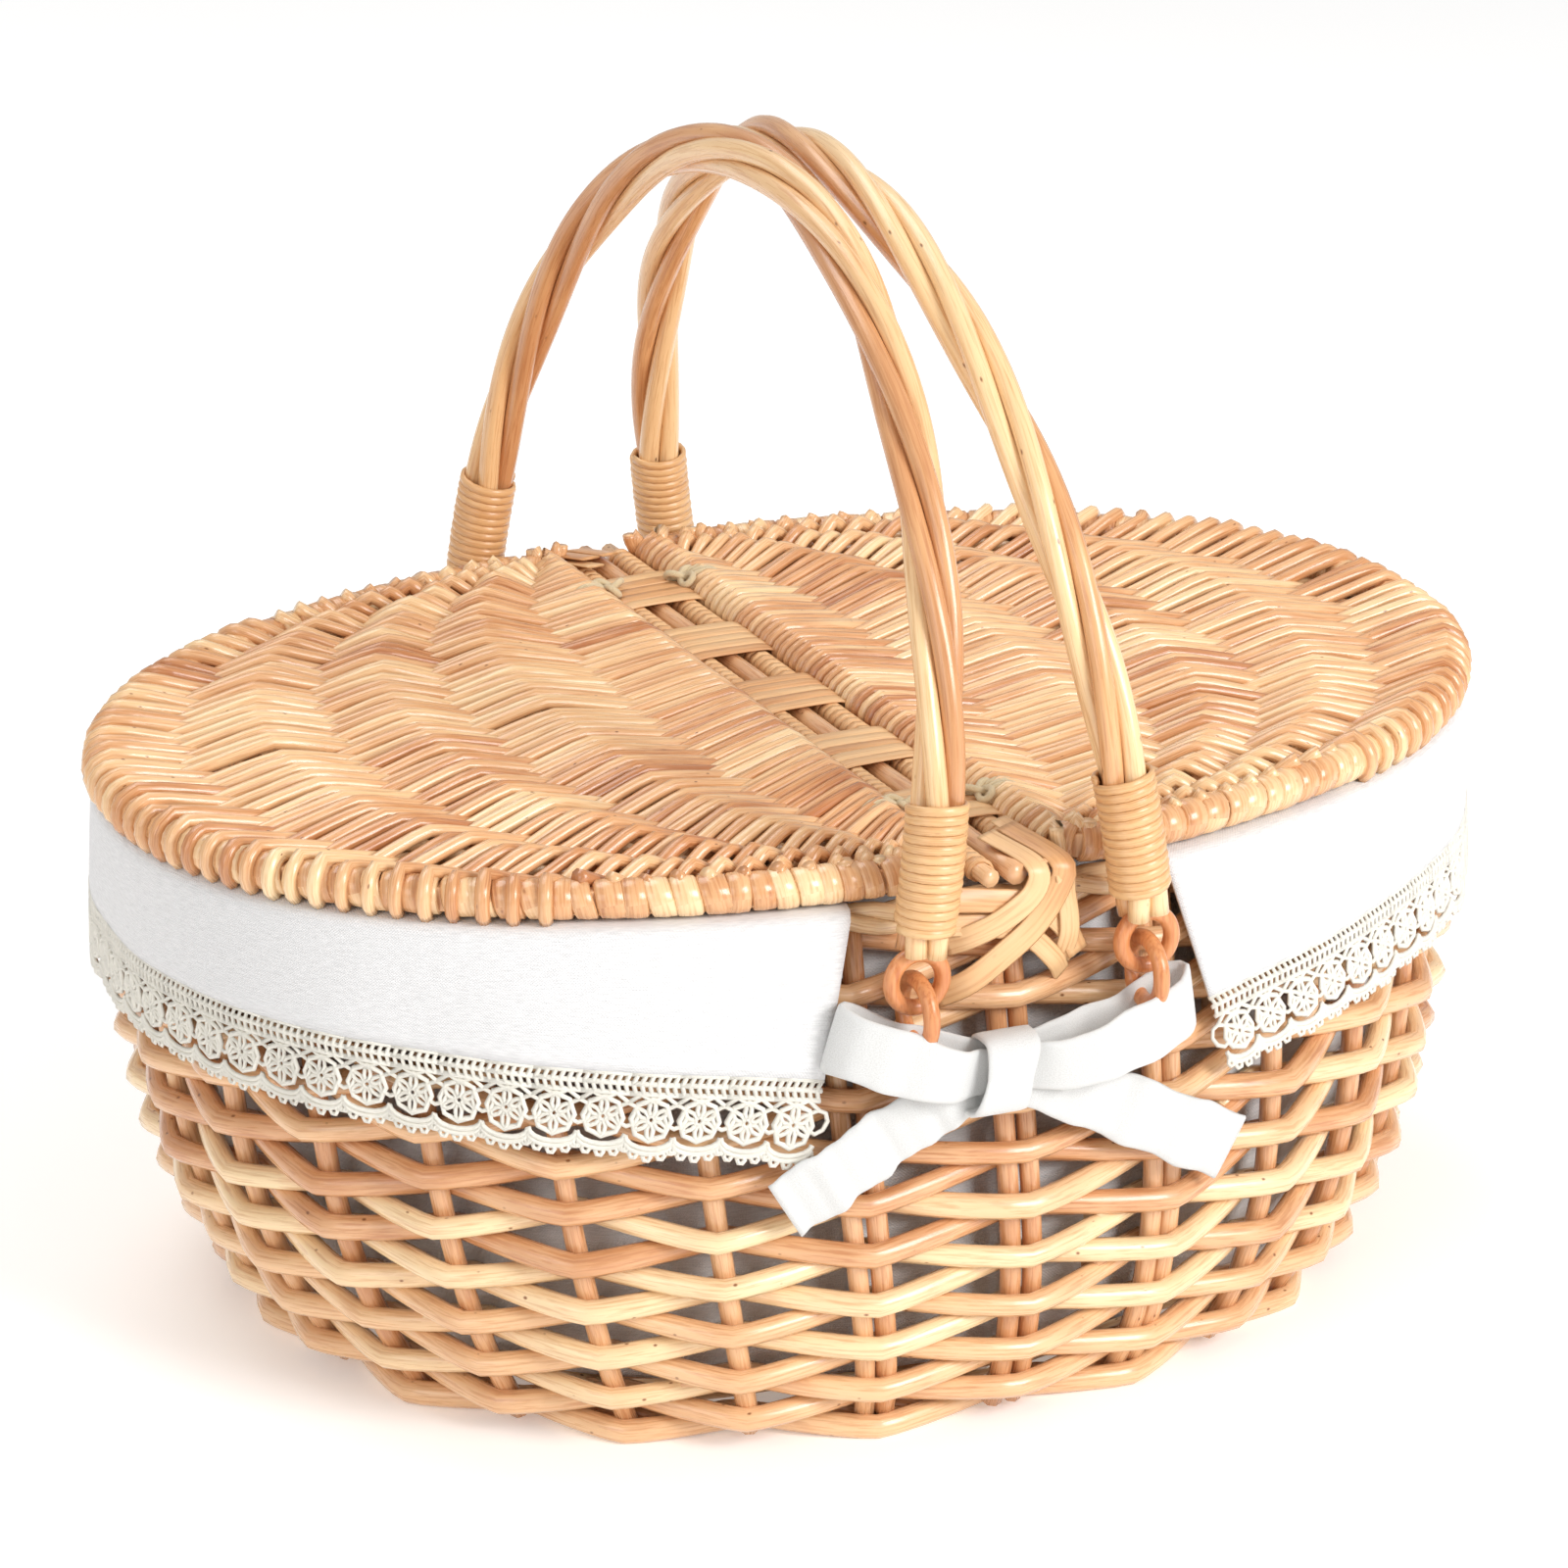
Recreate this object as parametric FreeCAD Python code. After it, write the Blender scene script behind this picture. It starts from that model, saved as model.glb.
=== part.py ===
"""Oval wicker picnic basket with two half lids, a middle bridge and two swing handles.

Frame: millimetres, +Z up, origin on the ground under the middle of the basket.
X runs along the long axis, Y across it. The front is the -Y side.
"""
import FreeCAD, Part
import math
import os

V = FreeCAD.Vector

# Oval basket body
OVAL_POWER = 2.12          # exponent of the oval outline, 2 is an ellipse
RIM_TOP = 152.0
RIM_HALF_LENGTH = 198.0
RIM_HALF_WIDTH = 138.0
FOOT_INSET_LENGTH = 38.0   # how far the foot is inside the rim at each end
TUCK_POWER = 3.2           # how late the ends curve in towards the foot
SIDE_BULGE = 31.0          # long sides swell out below the rim
SIDE_TUCK = 0.87           # share of the swelling lost again at the foot
WALL = 15.0                # two layers of weavers with the stakes between them
STAKE_D = 6.0
STAKE_COUNT = 28
BORDER_H = 9.0
FOOT_H = 8.0

# Base
BASE_INSET = 16.5
BASE_BOTTOM = 5.0
BASE_T = 7.0
BASE_LONG_STICK_D = 6.0
BASE_CROSS_STICK_D = 4.0
BASE_LONG_STICKS = 3
BASE_CROSS_STICKS = 7
BASE_STICK_PITCH = 34.0

# Half lids
LID_HALF_LENGTH = 200.0
LID_HALF_WIDTH = 137.5
LID_BOTTOM = 154.0
BAR_D = 10.5               # thickness of the bound hoop and of the straight bar
BAR_X = 18.0               # hinge line of each lid, from the middle
LID_CORNER_R = 16.0
HOOP_SKIN = 2.0            # thickness of the binding round the hoop rod
PANEL_T = 7.0
RIB_D = 4.5
RIB_COUNT = 3
RIB_START = 69.0
RIB_PITCH = 39.5
TIE_Y = 96.0
TIE_D = 2.0
TIE_PLAY = 0.35
FIT_GAP = 0.1

# Bridge between the lids
BRIDGE_ROD_D = 6.0
BRIDGE_ROD_PITCH = 8.0
BRIDGE_ROD_COUNT = 3
BRIDGE_HALF_LENGTH = 141.0
BRIDGE_Z = 156.5
SPLINT_T = 0.8
SPLINT_BAND = 15.0
SPLINT_COUNT = 6
SPLINT_PITCH = 38.0
LASHING_HALF_WIDTH = 15.0
LASHING_BOTTOM = 127.0

# Handles
HANDLE_X = 34.0            # swing axis of each handle, from the middle
HANDLE_Z = 137.0
HANDLE_HALF_SPAN = 150.0
HANDLE_RISE = 181.0
HANDLE_LEG = 20.0          # straight stretch above the axis
HANDLE_TOP_R = 139.0
HANDLE_ROD_D = 7.0
HANDLE_ROD_GAP = 0.1
HANDLE_ROD_START = 7.6
HANDLE_APEX_GAP = 0.4
BINDING_D = 19.0
BINDING_START = 14.0
BINDING_H = 36.0
LOOP_ROD_D = 4.5
HANDLE_LOOP_R = 7.5
BODY_LOOP_R = 9.0

# Cloth
CLOTH_T = 1.5
LINER_FLOOR = 13.0
VALANCE_BOTTOM = 112.0
LACE_BOTTOM = 90.0
LACE_T = 1.2
CLOTH_AIR = 0.7            # between the wicker and the cloth outside it
HEM_TOP_X = 45.0
HEM_LEAN = 0.26            # the front hems run outwards as they go down
KNOT = (17.0, 11.0, 19.0)
KNOT_Z = 104.0
BOW_LOOP_END = (56.0, 118.0)
BOW_LOOP_HALF = 8.0
BOW_LOOP_T = 8.0
BOW_TAIL_END = (68.0, 69.0)
BOW_TAIL_HALF = 8.5
BOW_TAIL_T = 2.5
BOW_TAIL_SINK = 1.6        # the tails lie this far inside the widest bulge

LID_MIDDLE_Z = LID_BOTTOM + BAR_D / 2
BIG = 600.0


def wall_half_length(z):
    """Outer half length of the body at height z."""
    rest = 1.0 - z / RIM_TOP
    return RIM_HALF_LENGTH - FOOT_INSET_LENGTH * max(rest, 0.0) ** TUCK_POWER


def wall_half_width(z):
    """Outer half width of the body at height z."""
    rest = max(1.0 - z / RIM_TOP, 0.0)
    return RIM_HALF_WIDTH + SIDE_BULGE * rest * (1.0 - SIDE_TUCK * rest ** 4)


def oval_point(half_length, half_width, angle, z):
    c, s = math.cos(angle), math.sin(angle)
    x = math.copysign(abs(c) ** (2.0 / OVAL_POWER), c) * half_length
    y = math.copysign(abs(s) ** (2.0 / OVAL_POWER), s) * half_width
    return V(x, y, z)


def oval_wire(half_length, half_width, z, count=40):
    points = [oval_point(half_length, half_width, (i + 0.5) * 2 * math.pi / count, z) for i in range(count)]
    curve = Part.BSplineCurve()
    curve.interpolate(Points=points, PeriodicFlag=True)
    return Part.Wire(curve.toShape())


def oval_prism(half_length, half_width, z, height):
    return Part.Face(oval_wire(half_length, half_width, z)).extrude(V(0, 0, height))


def wall_solid(offset, low, high, steps=7):
    """Solid bounded by the wall's outer surface moved outwards by offset."""
    wires = []
    for i in range(steps):
        z = low + (high - low) * i / (steps - 1)
        wires.append(oval_wire(wall_half_length(z) + offset, wall_half_width(z) + offset, z))
    return Part.makeLoft(wires, True, False)


def wall_shell(inner, outer, low, high, steps=7):
    """Skin between two offsets of the wall, open at both ends."""
    return wall_solid(outer, low, high, steps).cut(wall_solid(inner, low - 1.0, high + 1.0, steps + 2))


def rod(start, end, diameter):
    direction = end - start
    return Part.makeCylinder(diameter / 2, direction.Length, start, direction)


def ring(centre, axis, radius, thickness):
    return Part.makeTorus(radius, thickness / 2, centre, axis)


def front_prism(points, low_y=-BIG, high_y=0.0):
    """Prism along Y over a polygon given as (x, z) points."""
    corners = [V(x, low_y, z) for x, z in points]
    face = Part.Face(Part.makePolygon(corners + corners[:1]))
    return face.extrude(V(0, high_y - low_y, 0))


def strip(start, end, half_width):
    """Four corners of a straight strip between two (x, z) points."""
    dx, dz = end[0] - start[0], end[1] - start[1]
    length = math.hypot(dx, dz)
    nx, nz = -dz / length * half_width, dx / length * half_width
    return [
        (start[0] + nx, start[1] + nz),
        (end[0] + nx, end[1] + nz),
        (end[0] - nx, end[1] - nz),
        (start[0] - nx, start[1] - nz),
    ]


def mirrored_x(shape):
    return shape.mirror(V(0, 0, 0), V(1, 0, 0))


def mirrored_y(shape):
    return shape.mirror(V(0, 0, 0), V(0, 1, 0))


# ---------------------------------------------------------------- body

def make_stakes():
    """Upright stakes, each bent in one arc between the two layers of weavers."""
    stakes = []
    for i in range(STAKE_COUNT):
        angle = (i + 0.5) * 2 * math.pi / STAKE_COUNT
        points = []
        for z in (FOOT_H, 0.36 * RIM_TOP, RIM_TOP - BORDER_H):
            a = wall_half_length(z) - WALL / 2
            b = wall_half_width(z) - WALL / 2
            points.append(oval_point(a, b, angle, z))
        path = Part.Wire(Part.Arc(*points).toShape())
        tangent = path.Edges[0].tangentAt(path.Edges[0].FirstParameter)
        section = Part.Wire(Part.makeCircle(STAKE_D / 2, points[0], tangent))
        stakes.append(path.makePipeShell([section], True, True))
    slab = Part.makeBox(BIG, BIG, RIM_TOP - BORDER_H - FOOT_H, V(-BIG / 2, -BIG / 2, FOOT_H))
    return Part.makeCompound([s.common(slab) for s in stakes])


def make_base_sticks():
    inside = oval_prism(wall_half_length(0) - BASE_INSET - 0.5, wall_half_width(0) - BASE_INSET - 0.5,
                        0, 2 * BASE_T + BASE_BOTTOM)
    z = BASE_BOTTOM + BASE_T / 2
    long_sticks = []
    for i in range(BASE_LONG_STICKS):
        y = (i - (BASE_LONG_STICKS - 1) / 2) * BASE_STICK_PITCH
        long_sticks.append(rod(V(-BIG / 2, y, z), V(BIG / 2, y, z), BASE_LONG_STICK_D).common(inside))
    cross_sticks = []
    for i in range(BASE_CROSS_STICKS):
        x = (i - (BASE_CROSS_STICKS - 1) / 2) * BASE_STICK_PITCH
        cross_sticks.append(rod(V(x, -BIG / 2, z), V(x, BIG / 2, z), BASE_CROSS_STICK_D).common(inside))
    cross = Part.makeCompound(cross_sticks)
    # the long sticks are split and the cross sticks pushed through them
    return Part.makeCompound([s.cut(cross) for s in long_sticks]), cross


def make_body():
    parts = {}
    stakes = make_stakes()
    parts["side_stakes"] = stakes
    weave = wall_solid(0, FOOT_H, RIM_TOP - BORDER_H, 9)
    weave = weave.cut(wall_solid(-WALL, FOOT_H - 1, RIM_TOP - BORDER_H + 1, 11))
    parts["side_weave"] = weave.cut(stakes)
    rim = oval_prism(RIM_HALF_LENGTH, RIM_HALF_WIDTH, RIM_TOP - BORDER_H, BORDER_H)
    parts["top_border"] = rim.cut(wall_solid(-WALL, RIM_TOP - BORDER_H - 1, RIM_TOP + 1, 5))
    foot = wall_solid(0, 0, FOOT_H, 3)
    inner = (wall_half_length(0) - BASE_INSET, wall_half_width(0) - BASE_INSET)
    parts["foot_border"] = foot.cut(oval_prism(inner[0], inner[1], -1, FOOT_H + 2))
    long_sticks, cross_sticks = make_base_sticks()
    parts["base_long_sticks"] = long_sticks
    parts["base_cross_sticks"] = cross_sticks
    base = oval_prism(inner[0] - FIT_GAP, inner[1] - FIT_GAP, BASE_BOTTOM, BASE_T)
    parts["base_weave"] = base.cut(long_sticks).cut(cross_sticks)
    return parts


def make_bridge():
    parts = {}
    rods = []
    for i in range(BRIDGE_ROD_COUNT):
        x = (i - (BRIDGE_ROD_COUNT - 1) / 2) * BRIDGE_ROD_PITCH
        rods.append(rod(V(x, -BRIDGE_HALF_LENGTH, BRIDGE_Z), V(x, BRIDGE_HALF_LENGTH, BRIDGE_Z), BRIDGE_ROD_D))
    rods = Part.makeCompound(rods)
    parts["bridge_rods"] = rods
    half = BRIDGE_ROD_PITCH + BRIDGE_ROD_D / 2
    bands = []
    for i in range(SPLINT_COUNT):
        y = (i - (SPLINT_COUNT - 1) / 2) * SPLINT_PITCH - SPLINT_BAND / 2
        band = Part.makeBox(2 * (half + SPLINT_T), SPLINT_BAND, BRIDGE_ROD_D + 2 * SPLINT_T,
                            V(-half - SPLINT_T, y, BRIDGE_Z - BRIDGE_ROD_D / 2 - SPLINT_T))
        hole = Part.makeBox(2 * half, SPLINT_BAND + 2, BRIDGE_ROD_D,
                            V(-half, y - 1, BRIDGE_Z - BRIDGE_ROD_D / 2))
        bands.append(band.cut(hole))
    splint = Part.makeCompound(bands)
    parts["bridge_splint"] = splint
    w = LASHING_HALF_WIDTH
    lashing = wall_shell(0.2, 3.2, LASHING_BOTTOM, RIM_TOP + 0.6)
    lashing = lashing.common(front_prism([(-w, 0), (w, 0), (w, BIG), (-w, BIG)]))
    parts["bridge_lashing_front"] = lashing
    parts["bridge_lashing_back"] = mirrored_y(lashing)
    ties = []
    for side in (-1, 1):
        tie = ring(V(-BAR_X, side * TIE_Y, LID_MIDDLE_Z), V(0, 1, 0),
                   BAR_D / 2 + TIE_PLAY + TIE_D / 2, TIE_D)
        # the twine is pinched where it passes between the bar and the bridge
        pieces = tie.cut(rods).cut(splint).Solids
        ties.append(max(pieces, key=lambda piece: piece.Volume))
    parts["lid_ties_left"] = Part.makeCompound(ties)
    parts["lid_ties_right"] = mirrored_x(parts["lid_ties_left"])
    return parts


def make_body_loops(outer_wall):
    """Rattan eyes that stand out of the wall, one under each handle end."""
    z = HANDLE_Z - BODY_LOOP_R
    loop = ring(V(-HANDLE_X, -HANDLE_HALF_SPAN, z), V(1, 0, 0), BODY_LOOP_R, LOOP_ROD_D)
    loop = loop.cut(outer_wall)
    right = mirrored_x(loop)
    return {
        "body_loop_front_left": loop,
        "body_loop_front_right": right,
        "body_loop_back_left": mirrored_y(loop),
        "body_loop_back_right": mirrored_y(right),
    }


def make_cloth():
    parts = {}
    bag = wall_solid(-WALL - 0.3, LINER_FLOOR, RIM_TOP, 9)
    parts["liner_bag"] = bag.cut(wall_solid(-WALL - 0.3 - CLOTH_T, LINER_FLOOR + CLOTH_T, RIM_TOP + 1, 11))
    skirt = wall_solid(CLOTH_AIR + CLOTH_T, VALANCE_BOTTOM, RIM_TOP + 0.2 + CLOTH_T - 0.2, 7)
    skirt = skirt.cut(wall_solid(CLOTH_AIR, VALANCE_BOTTOM - 1, RIM_TOP + 0.2, 9))
    mouth = oval_prism(RIM_HALF_LENGTH - WALL - CLOTH_T, RIM_HALF_WIDTH - WALL - CLOTH_T, RIM_TOP - 2, 8)
    skirt = skirt.cut(mouth)
    lace = wall_shell(CLOTH_AIR, CLOTH_AIR + LACE_T, LACE_BOTTOM, VALANCE_BOTTOM - 0.1, 5)
    low, high = LACE_BOTTOM - 5, RIM_TOP + 5
    lean = HEM_LEAN * (high - low)
    keep = front_prism([(-HEM_TOP_X, high), (-HEM_TOP_X - lean, low), (-BIG, low), (-BIG, high)], -BIG, BIG)
    parts["valance_left"] = skirt.common(keep)
    parts["lace_left"] = lace.common(keep)
    parts["valance_right"] = mirrored_x(parts["valance_left"])
    parts["lace_right"] = mirrored_x(parts["lace_left"])
    return parts


def make_bow(body_loops):
    """Tape tied in a bow below the bridge: knot, two loops and two tails."""
    eyes = Part.makeCompound(list(body_loops.values()))
    tail_y = -wall_half_width(BOW_TAIL_END[1]) + BOW_TAIL_SINK
    knot = Part.makeBox(*KNOT, V(-KNOT[0] / 2, tail_y - KNOT[1], KNOT_Z - KNOT[2] / 2))
    pieces = [knot]
    for side in (-1, 1):
        start = (side * KNOT[0] / 2, KNOT_Z + 2)
        end = (side * BOW_LOOP_END[0], BOW_LOOP_END[1])
        front = tail_y - BOW_TAIL_T - FIT_GAP
        loop = front_prism(strip(start, end, BOW_LOOP_HALF), front - BOW_LOOP_T, front)
        start = (side * KNOT[0] / 2, KNOT_Z - 6)
        end = (side * BOW_TAIL_END[0], BOW_TAIL_END[1])
        tail = front_prism(strip(start, end, BOW_TAIL_HALF), tail_y - BOW_TAIL_T, tail_y)
        pieces.append(loop.cut(knot).cut(eyes))
        pieces.append(tail.cut(knot).cut(eyes))
    return Part.makeCompound([max(p.Solids, key=lambda solid: solid.Volume) for p in pieces])


# ---------------------------------------------------------------- left lid

def half_oval(inset, z, height):
    """D-shaped plate of the left lid, smaller all round by inset."""
    plate = oval_prism(LID_HALF_LENGTH - inset, LID_HALF_WIDTH - inset, z, height)
    edge = -(BAR_X - BAR_D / 2) - inset
    plate = plate.common(Part.makeBox(BIG, BIG, BIG, V(edge - BIG, -BIG / 2, -BIG / 2)))
    corners = []
    for e in plate.Edges:
        box = e.BoundBox
        upright = box.XLength < 0.01 and box.YLength < 0.01
        if upright and abs(box.XMin - edge) < 0.1:
            corners.append(e)
    return plate.makeFillet(LID_CORNER_R - inset if inset < LID_CORNER_R - 3 else 3.0, corners)


def make_lid():
    parts = {}
    core = BAR_D - 2 * HOOP_SKIN
    hoop = half_oval(HOOP_SKIN, LID_BOTTOM + HOOP_SKIN, core)
    hoop = hoop.cut(half_oval(HOOP_SKIN + core, LID_BOTTOM, BAR_D))
    binding = half_oval(0, LID_BOTTOM, BAR_D).cut(half_oval(BAR_D, LID_BOTTOM - 1, BAR_D + 2))
    # the straight bar is round, because it turns in its ties
    beyond = Part.makeBox(BAR_D, BIG, 2 * BAR_D, V(-BAR_X, -BIG / 2, LID_BOTTOM - BAR_D / 2))
    bar = rod(V(-BAR_X, -BIG / 2, LID_MIDDLE_Z), V(-BAR_X, BIG / 2, LID_MIDDLE_Z), BAR_D)
    slim_bar = rod(V(-BAR_X, -BIG / 2, LID_MIDDLE_Z), V(-BAR_X, BIG / 2, LID_MIDDLE_Z), core)
    hoop = hoop.cut(beyond.cut(slim_bar))
    binding = binding.cut(beyond.cut(bar))
    parts["lid_left_hoop"] = hoop
    parts["lid_left_binding"] = binding.cut(hoop)
    inside = half_oval(BAR_D + FIT_GAP, LID_MIDDLE_Z - PANEL_T / 2, PANEL_T)
    ribs = []
    for i in range(RIB_COUNT):
        x = -RIB_START - i * RIB_PITCH
        ribs.append(rod(V(x, -BIG / 2, LID_MIDDLE_Z), V(x, BIG / 2, LID_MIDDLE_Z), RIB_D).common(inside))
    ribs = Part.makeCompound(ribs)
    parts["lid_left_ribs"] = ribs
    weave = inside.cut(ribs)
    reach = BAR_D / 2 + TIE_PLAY + TIE_D + 0.6
    for side in (-1, 1):
        notch = Part.makeBox(reach, TIE_D + 2, 2 * PANEL_T,
                             V(-BAR_X - reach, side * TIE_Y - TIE_D / 2 - 1, LID_MIDDLE_Z - PANEL_T))
        weave = weave.cut(notch)
        parts["lid_left_binding"] = parts["lid_left_binding"].cut(notch.cut(bar))
    parts["lid_left_weave"] = weave
    return parts


# ---------------------------------------------------------------- left handle

def arch_path(offset, start, end=None):
    """Arch in the Y-Z plane above the origin: leg, side arc, top arc, side arc, leg.

    With end given, only the front leg and side arc up to that height are returned.
    """
    span = HANDLE_HALF_SPAN
    rise = HANDLE_RISE - HANDLE_LEG
    top_r = HANDLE_TOP_R
    side_r = (span ** 2 + (rise - top_r) ** 2 - top_r ** 2) / (2 * (span - top_r))
    turn = math.atan2(rise - top_r, side_r - span)
    side_y = side_r - span
    top_z = HANDLE_LEG + rise - top_r

    def on_side(angle):
        r = side_r + offset
        return V(0, side_y - r * math.cos(angle), HANDLE_LEG + r * math.sin(angle))

    def on_top(angle):
        r = top_r + offset
        return V(0, -r * math.cos(angle), top_z + r * math.sin(angle))

    foot = V(0, -span - offset, start)
    knee = V(0, -span - offset, HANDLE_LEG)
    if end is not None:
        stop = math.asin((end - HANDLE_LEG) / (side_r + offset))
        arc = Part.Arc(knee, on_side(stop / 2), on_side(stop))
        return Part.Wire([Part.makeLine(foot, knee), arc.toShape()])
    shoulder = on_side(turn)
    apex = on_top(math.pi / 2)

    def flip(p):
        return V(p.x, -p.y, p.z)

    edges = [
        Part.makeLine(foot, knee),
        Part.Arc(knee, on_side(turn / 2), shoulder).toShape(),
        Part.Arc(shoulder, apex, flip(shoulder)).toShape(),
        Part.Arc(flip(shoulder), flip(on_side(turn / 2)), flip(knee)).toShape(),
        Part.makeLine(flip(knee), flip(foot)),
    ]
    return Part.Wire(edges)


def sweep(path, centre, diameter):
    section = Part.Wire(Part.makeCircle(diameter / 2, centre, V(0, 0, 1)))
    return path.makePipeShell([section], True, True)


def make_handle():
    """Left handle, made upright on its axis and then leaned against its neighbour."""
    parts = {}
    offset = (HANDLE_ROD_D + HANDLE_ROD_GAP) / 2
    loop = ring(V(0, -HANDLE_HALF_SPAN, 0), V(0, 1, 0), HANDLE_LOOP_R, LOOP_ROD_D)
    loops = Part.makeCompound([loop, mirrored_y(loop)])
    rods = []
    for out in (-offset, offset):
        for aside in (-offset, offset):
            path = arch_path(out, HANDLE_ROD_START)
            path.translate(V(aside, 0, 0))
            one = sweep(path, V(aside, -HANDLE_HALF_SPAN - out, HANDLE_ROD_START), HANDLE_ROD_D)
            rods.append(one.cut(loops))
    rods = Part.makeCompound(rods)
    binding = sweep(arch_path(0, BINDING_START, BINDING_START + BINDING_H),
                    V(0, -HANDLE_HALF_SPAN, BINDING_START), BINDING_D)
    binding = binding.cut(rods)
    parts["handle_left_rods"] = rods
    parts["handle_left_binding_front"] = binding
    parts["handle_left_binding_back"] = mirrored_y(binding)
    parts["handle_left_loop_front"] = loop
    parts["handle_left_loop_back"] = mirrored_y(loop)
    reach = HANDLE_RISE + HANDLE_ROD_D
    lean = math.degrees(math.asin((HANDLE_X - HANDLE_ROD_D - HANDLE_APEX_GAP) / reach))
    for shape in parts.values():
        shape.rotate(V(0, 0, 0), V(0, 1, 0), lean)
        shape.translate(V(-HANDLE_X, 0, HANDLE_Z))
    return parts


def right_hand(parts):
    """The same pieces on the right, mirrored, with their own names."""
    return {name.replace("left", "right"): mirrored_x(shape) for name, shape in parts.items()}


def main():
    os.makedirs("parts", exist_ok=True)
    parts = make_body()
    parts.update(make_bridge())
    outer_wall = wall_solid(0.05, 60, RIM_TOP)
    body_loops = make_body_loops(outer_wall)
    parts.update(body_loops)
    parts.update(make_cloth())
    parts["bow_front"] = make_bow(body_loops)
    parts["bow_back"] = parts["bow_front"].copy()
    parts["bow_back"].rotate(V(0, 0, 0), V(0, 0, 1), 180)
    lid = make_lid()
    parts.update(lid)
    parts.update(right_hand(lid))
    handle = make_handle()
    parts.update(handle)
    parts.update(right_hand(handle))
    for name, shape in parts.items():
        shape.exportStep(os.path.join("parts", name + ".step"))
        box = shape.BoundBox
        print(f"{name:28s} solids {len(shape.Solids):3d} valid {shape.isValid()} volume {shape.Volume:12.1f} "
              f"x {box.XMin:.1f} {box.XMax:.1f} y {box.YMin:.1f} {box.YMax:.1f} z {box.ZMin:.1f} {box.ZMax:.1f}")


main()
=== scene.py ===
"""Oval wicker picnic basket with two half lids and two swing handles: the woven, bound and sewn pieces.

Metres, +Z up, origin on the ground under the middle of the basket. The front is the -Y side.
"""
import math

import bpy
import numpy as np
from bpy.props import FloatProperty, FloatVectorProperty, IntProperty, PointerProperty
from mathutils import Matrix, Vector


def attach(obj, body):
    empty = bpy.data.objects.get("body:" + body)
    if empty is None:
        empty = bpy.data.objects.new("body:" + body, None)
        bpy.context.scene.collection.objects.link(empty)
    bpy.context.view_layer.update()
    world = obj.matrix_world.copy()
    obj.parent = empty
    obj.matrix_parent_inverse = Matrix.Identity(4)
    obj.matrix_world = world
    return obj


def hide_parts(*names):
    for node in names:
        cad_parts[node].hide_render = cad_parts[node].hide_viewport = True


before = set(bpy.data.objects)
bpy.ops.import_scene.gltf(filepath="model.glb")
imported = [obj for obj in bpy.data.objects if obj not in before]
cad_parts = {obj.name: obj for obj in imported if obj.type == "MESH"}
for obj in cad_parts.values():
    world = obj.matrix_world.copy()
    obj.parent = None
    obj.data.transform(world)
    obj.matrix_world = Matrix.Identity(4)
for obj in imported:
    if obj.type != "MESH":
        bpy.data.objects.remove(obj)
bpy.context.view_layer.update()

bl_info = {
    "name": "Wicker Picnic Basket",
    "version": (1, 0, 0),
    "blender": (4, 5, 0),
    "location": "View3D > Sidebar > Basket",
    "description": "Weaves, binds and dresses an oval picnic basket",
    "category": "Object",
}

UP = np.array([0, 0, 1.0])

# Oval body, in metres
OVAL_POWER = 2.12
RIM_TOP = 0.152
RIM_HALF_LENGTH = 0.198
RIM_HALF_WIDTH = 0.138
FOOT_INSET = 0.038
TUCK_POWER = 3.2
SIDE_BULGE = 0.031
SIDE_TUCK = 0.87
STAKES = 28
STAKE_STEP = 2 * math.pi / STAKES
WALL_MIDDLE = -0.0090       # the stakes stand this far inside the outer surface
FOOT_ROW = 0.0038
TOP_ROW = 0.1392
BASE_HALF_LENGTH = 0.1435
BASE_HALF_WIDTH = 0.1255
BASE_Z = 0.0085

# Half lids
BAR_X = 0.018
BAR_HALF = 0.1305
HOOP_HALF_LENGTH = 0.19475
HOOP_HALF_WIDTH = 0.13225
LID_Z = 0.15925
BAR_WRAP_R = 0.0050         # centre line of the rods' ends round the bar
HOOP_WRAP_R = 0.0057        # the same round the hoop
STRAND_END = math.radians(88)   # the outermost strands meet the hoop at this angle
BINDING_REACH = 0.0043      # least distance of the hoop's binding from its centre line
BINDING_THICK = 0.00105
RIB_R = 0.0023
CORNER = 0.0112
RIB_OFFSETS = (0.051, 0.090, 0.131)   # along the middle line, from the bar
HOOP_OFFSET = HOOP_HALF_LENGTH - BAR_X
LID_STRANDS = 16
STRAND_RODS = 4
TIE_Y = 0.096
TWINE_R = 0.0009
TWINE_REACH = 0.0064

# Bridge
BRIDGE_Z = 0.1580
BRIDGE_HALF = 0.141
BRIDGE_ROD_X = 0.008
BARE_END = 0.006            # the rods show beyond their fine wrapping
WRAP_PITCH = 0.0035
BANDS = 5
BAND_PITCH = 0.0475
BAND_STRIPS = 5

# Handles
HANDLE_X = 0.034
HANDLE_Z = 0.137
HANDLE_SPAN = 0.150
HANDLE_LEG = 0.020
HANDLE_RISE = 0.181
HANDLE_TOP_R = 0.139
HANDLE_LEAN = math.asin(0.0266 / 0.188)
HANDLE_START = 0.0076
BINDING_LOW = 0.014
BINDING_HIGH = 0.050
CANE_TURNS = 13.5
CANE_REACH = 0.0078
CANE_R = 0.00139
BUNDLE_REACH = 0.0041
BUNDLE_R = 0.0030

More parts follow.
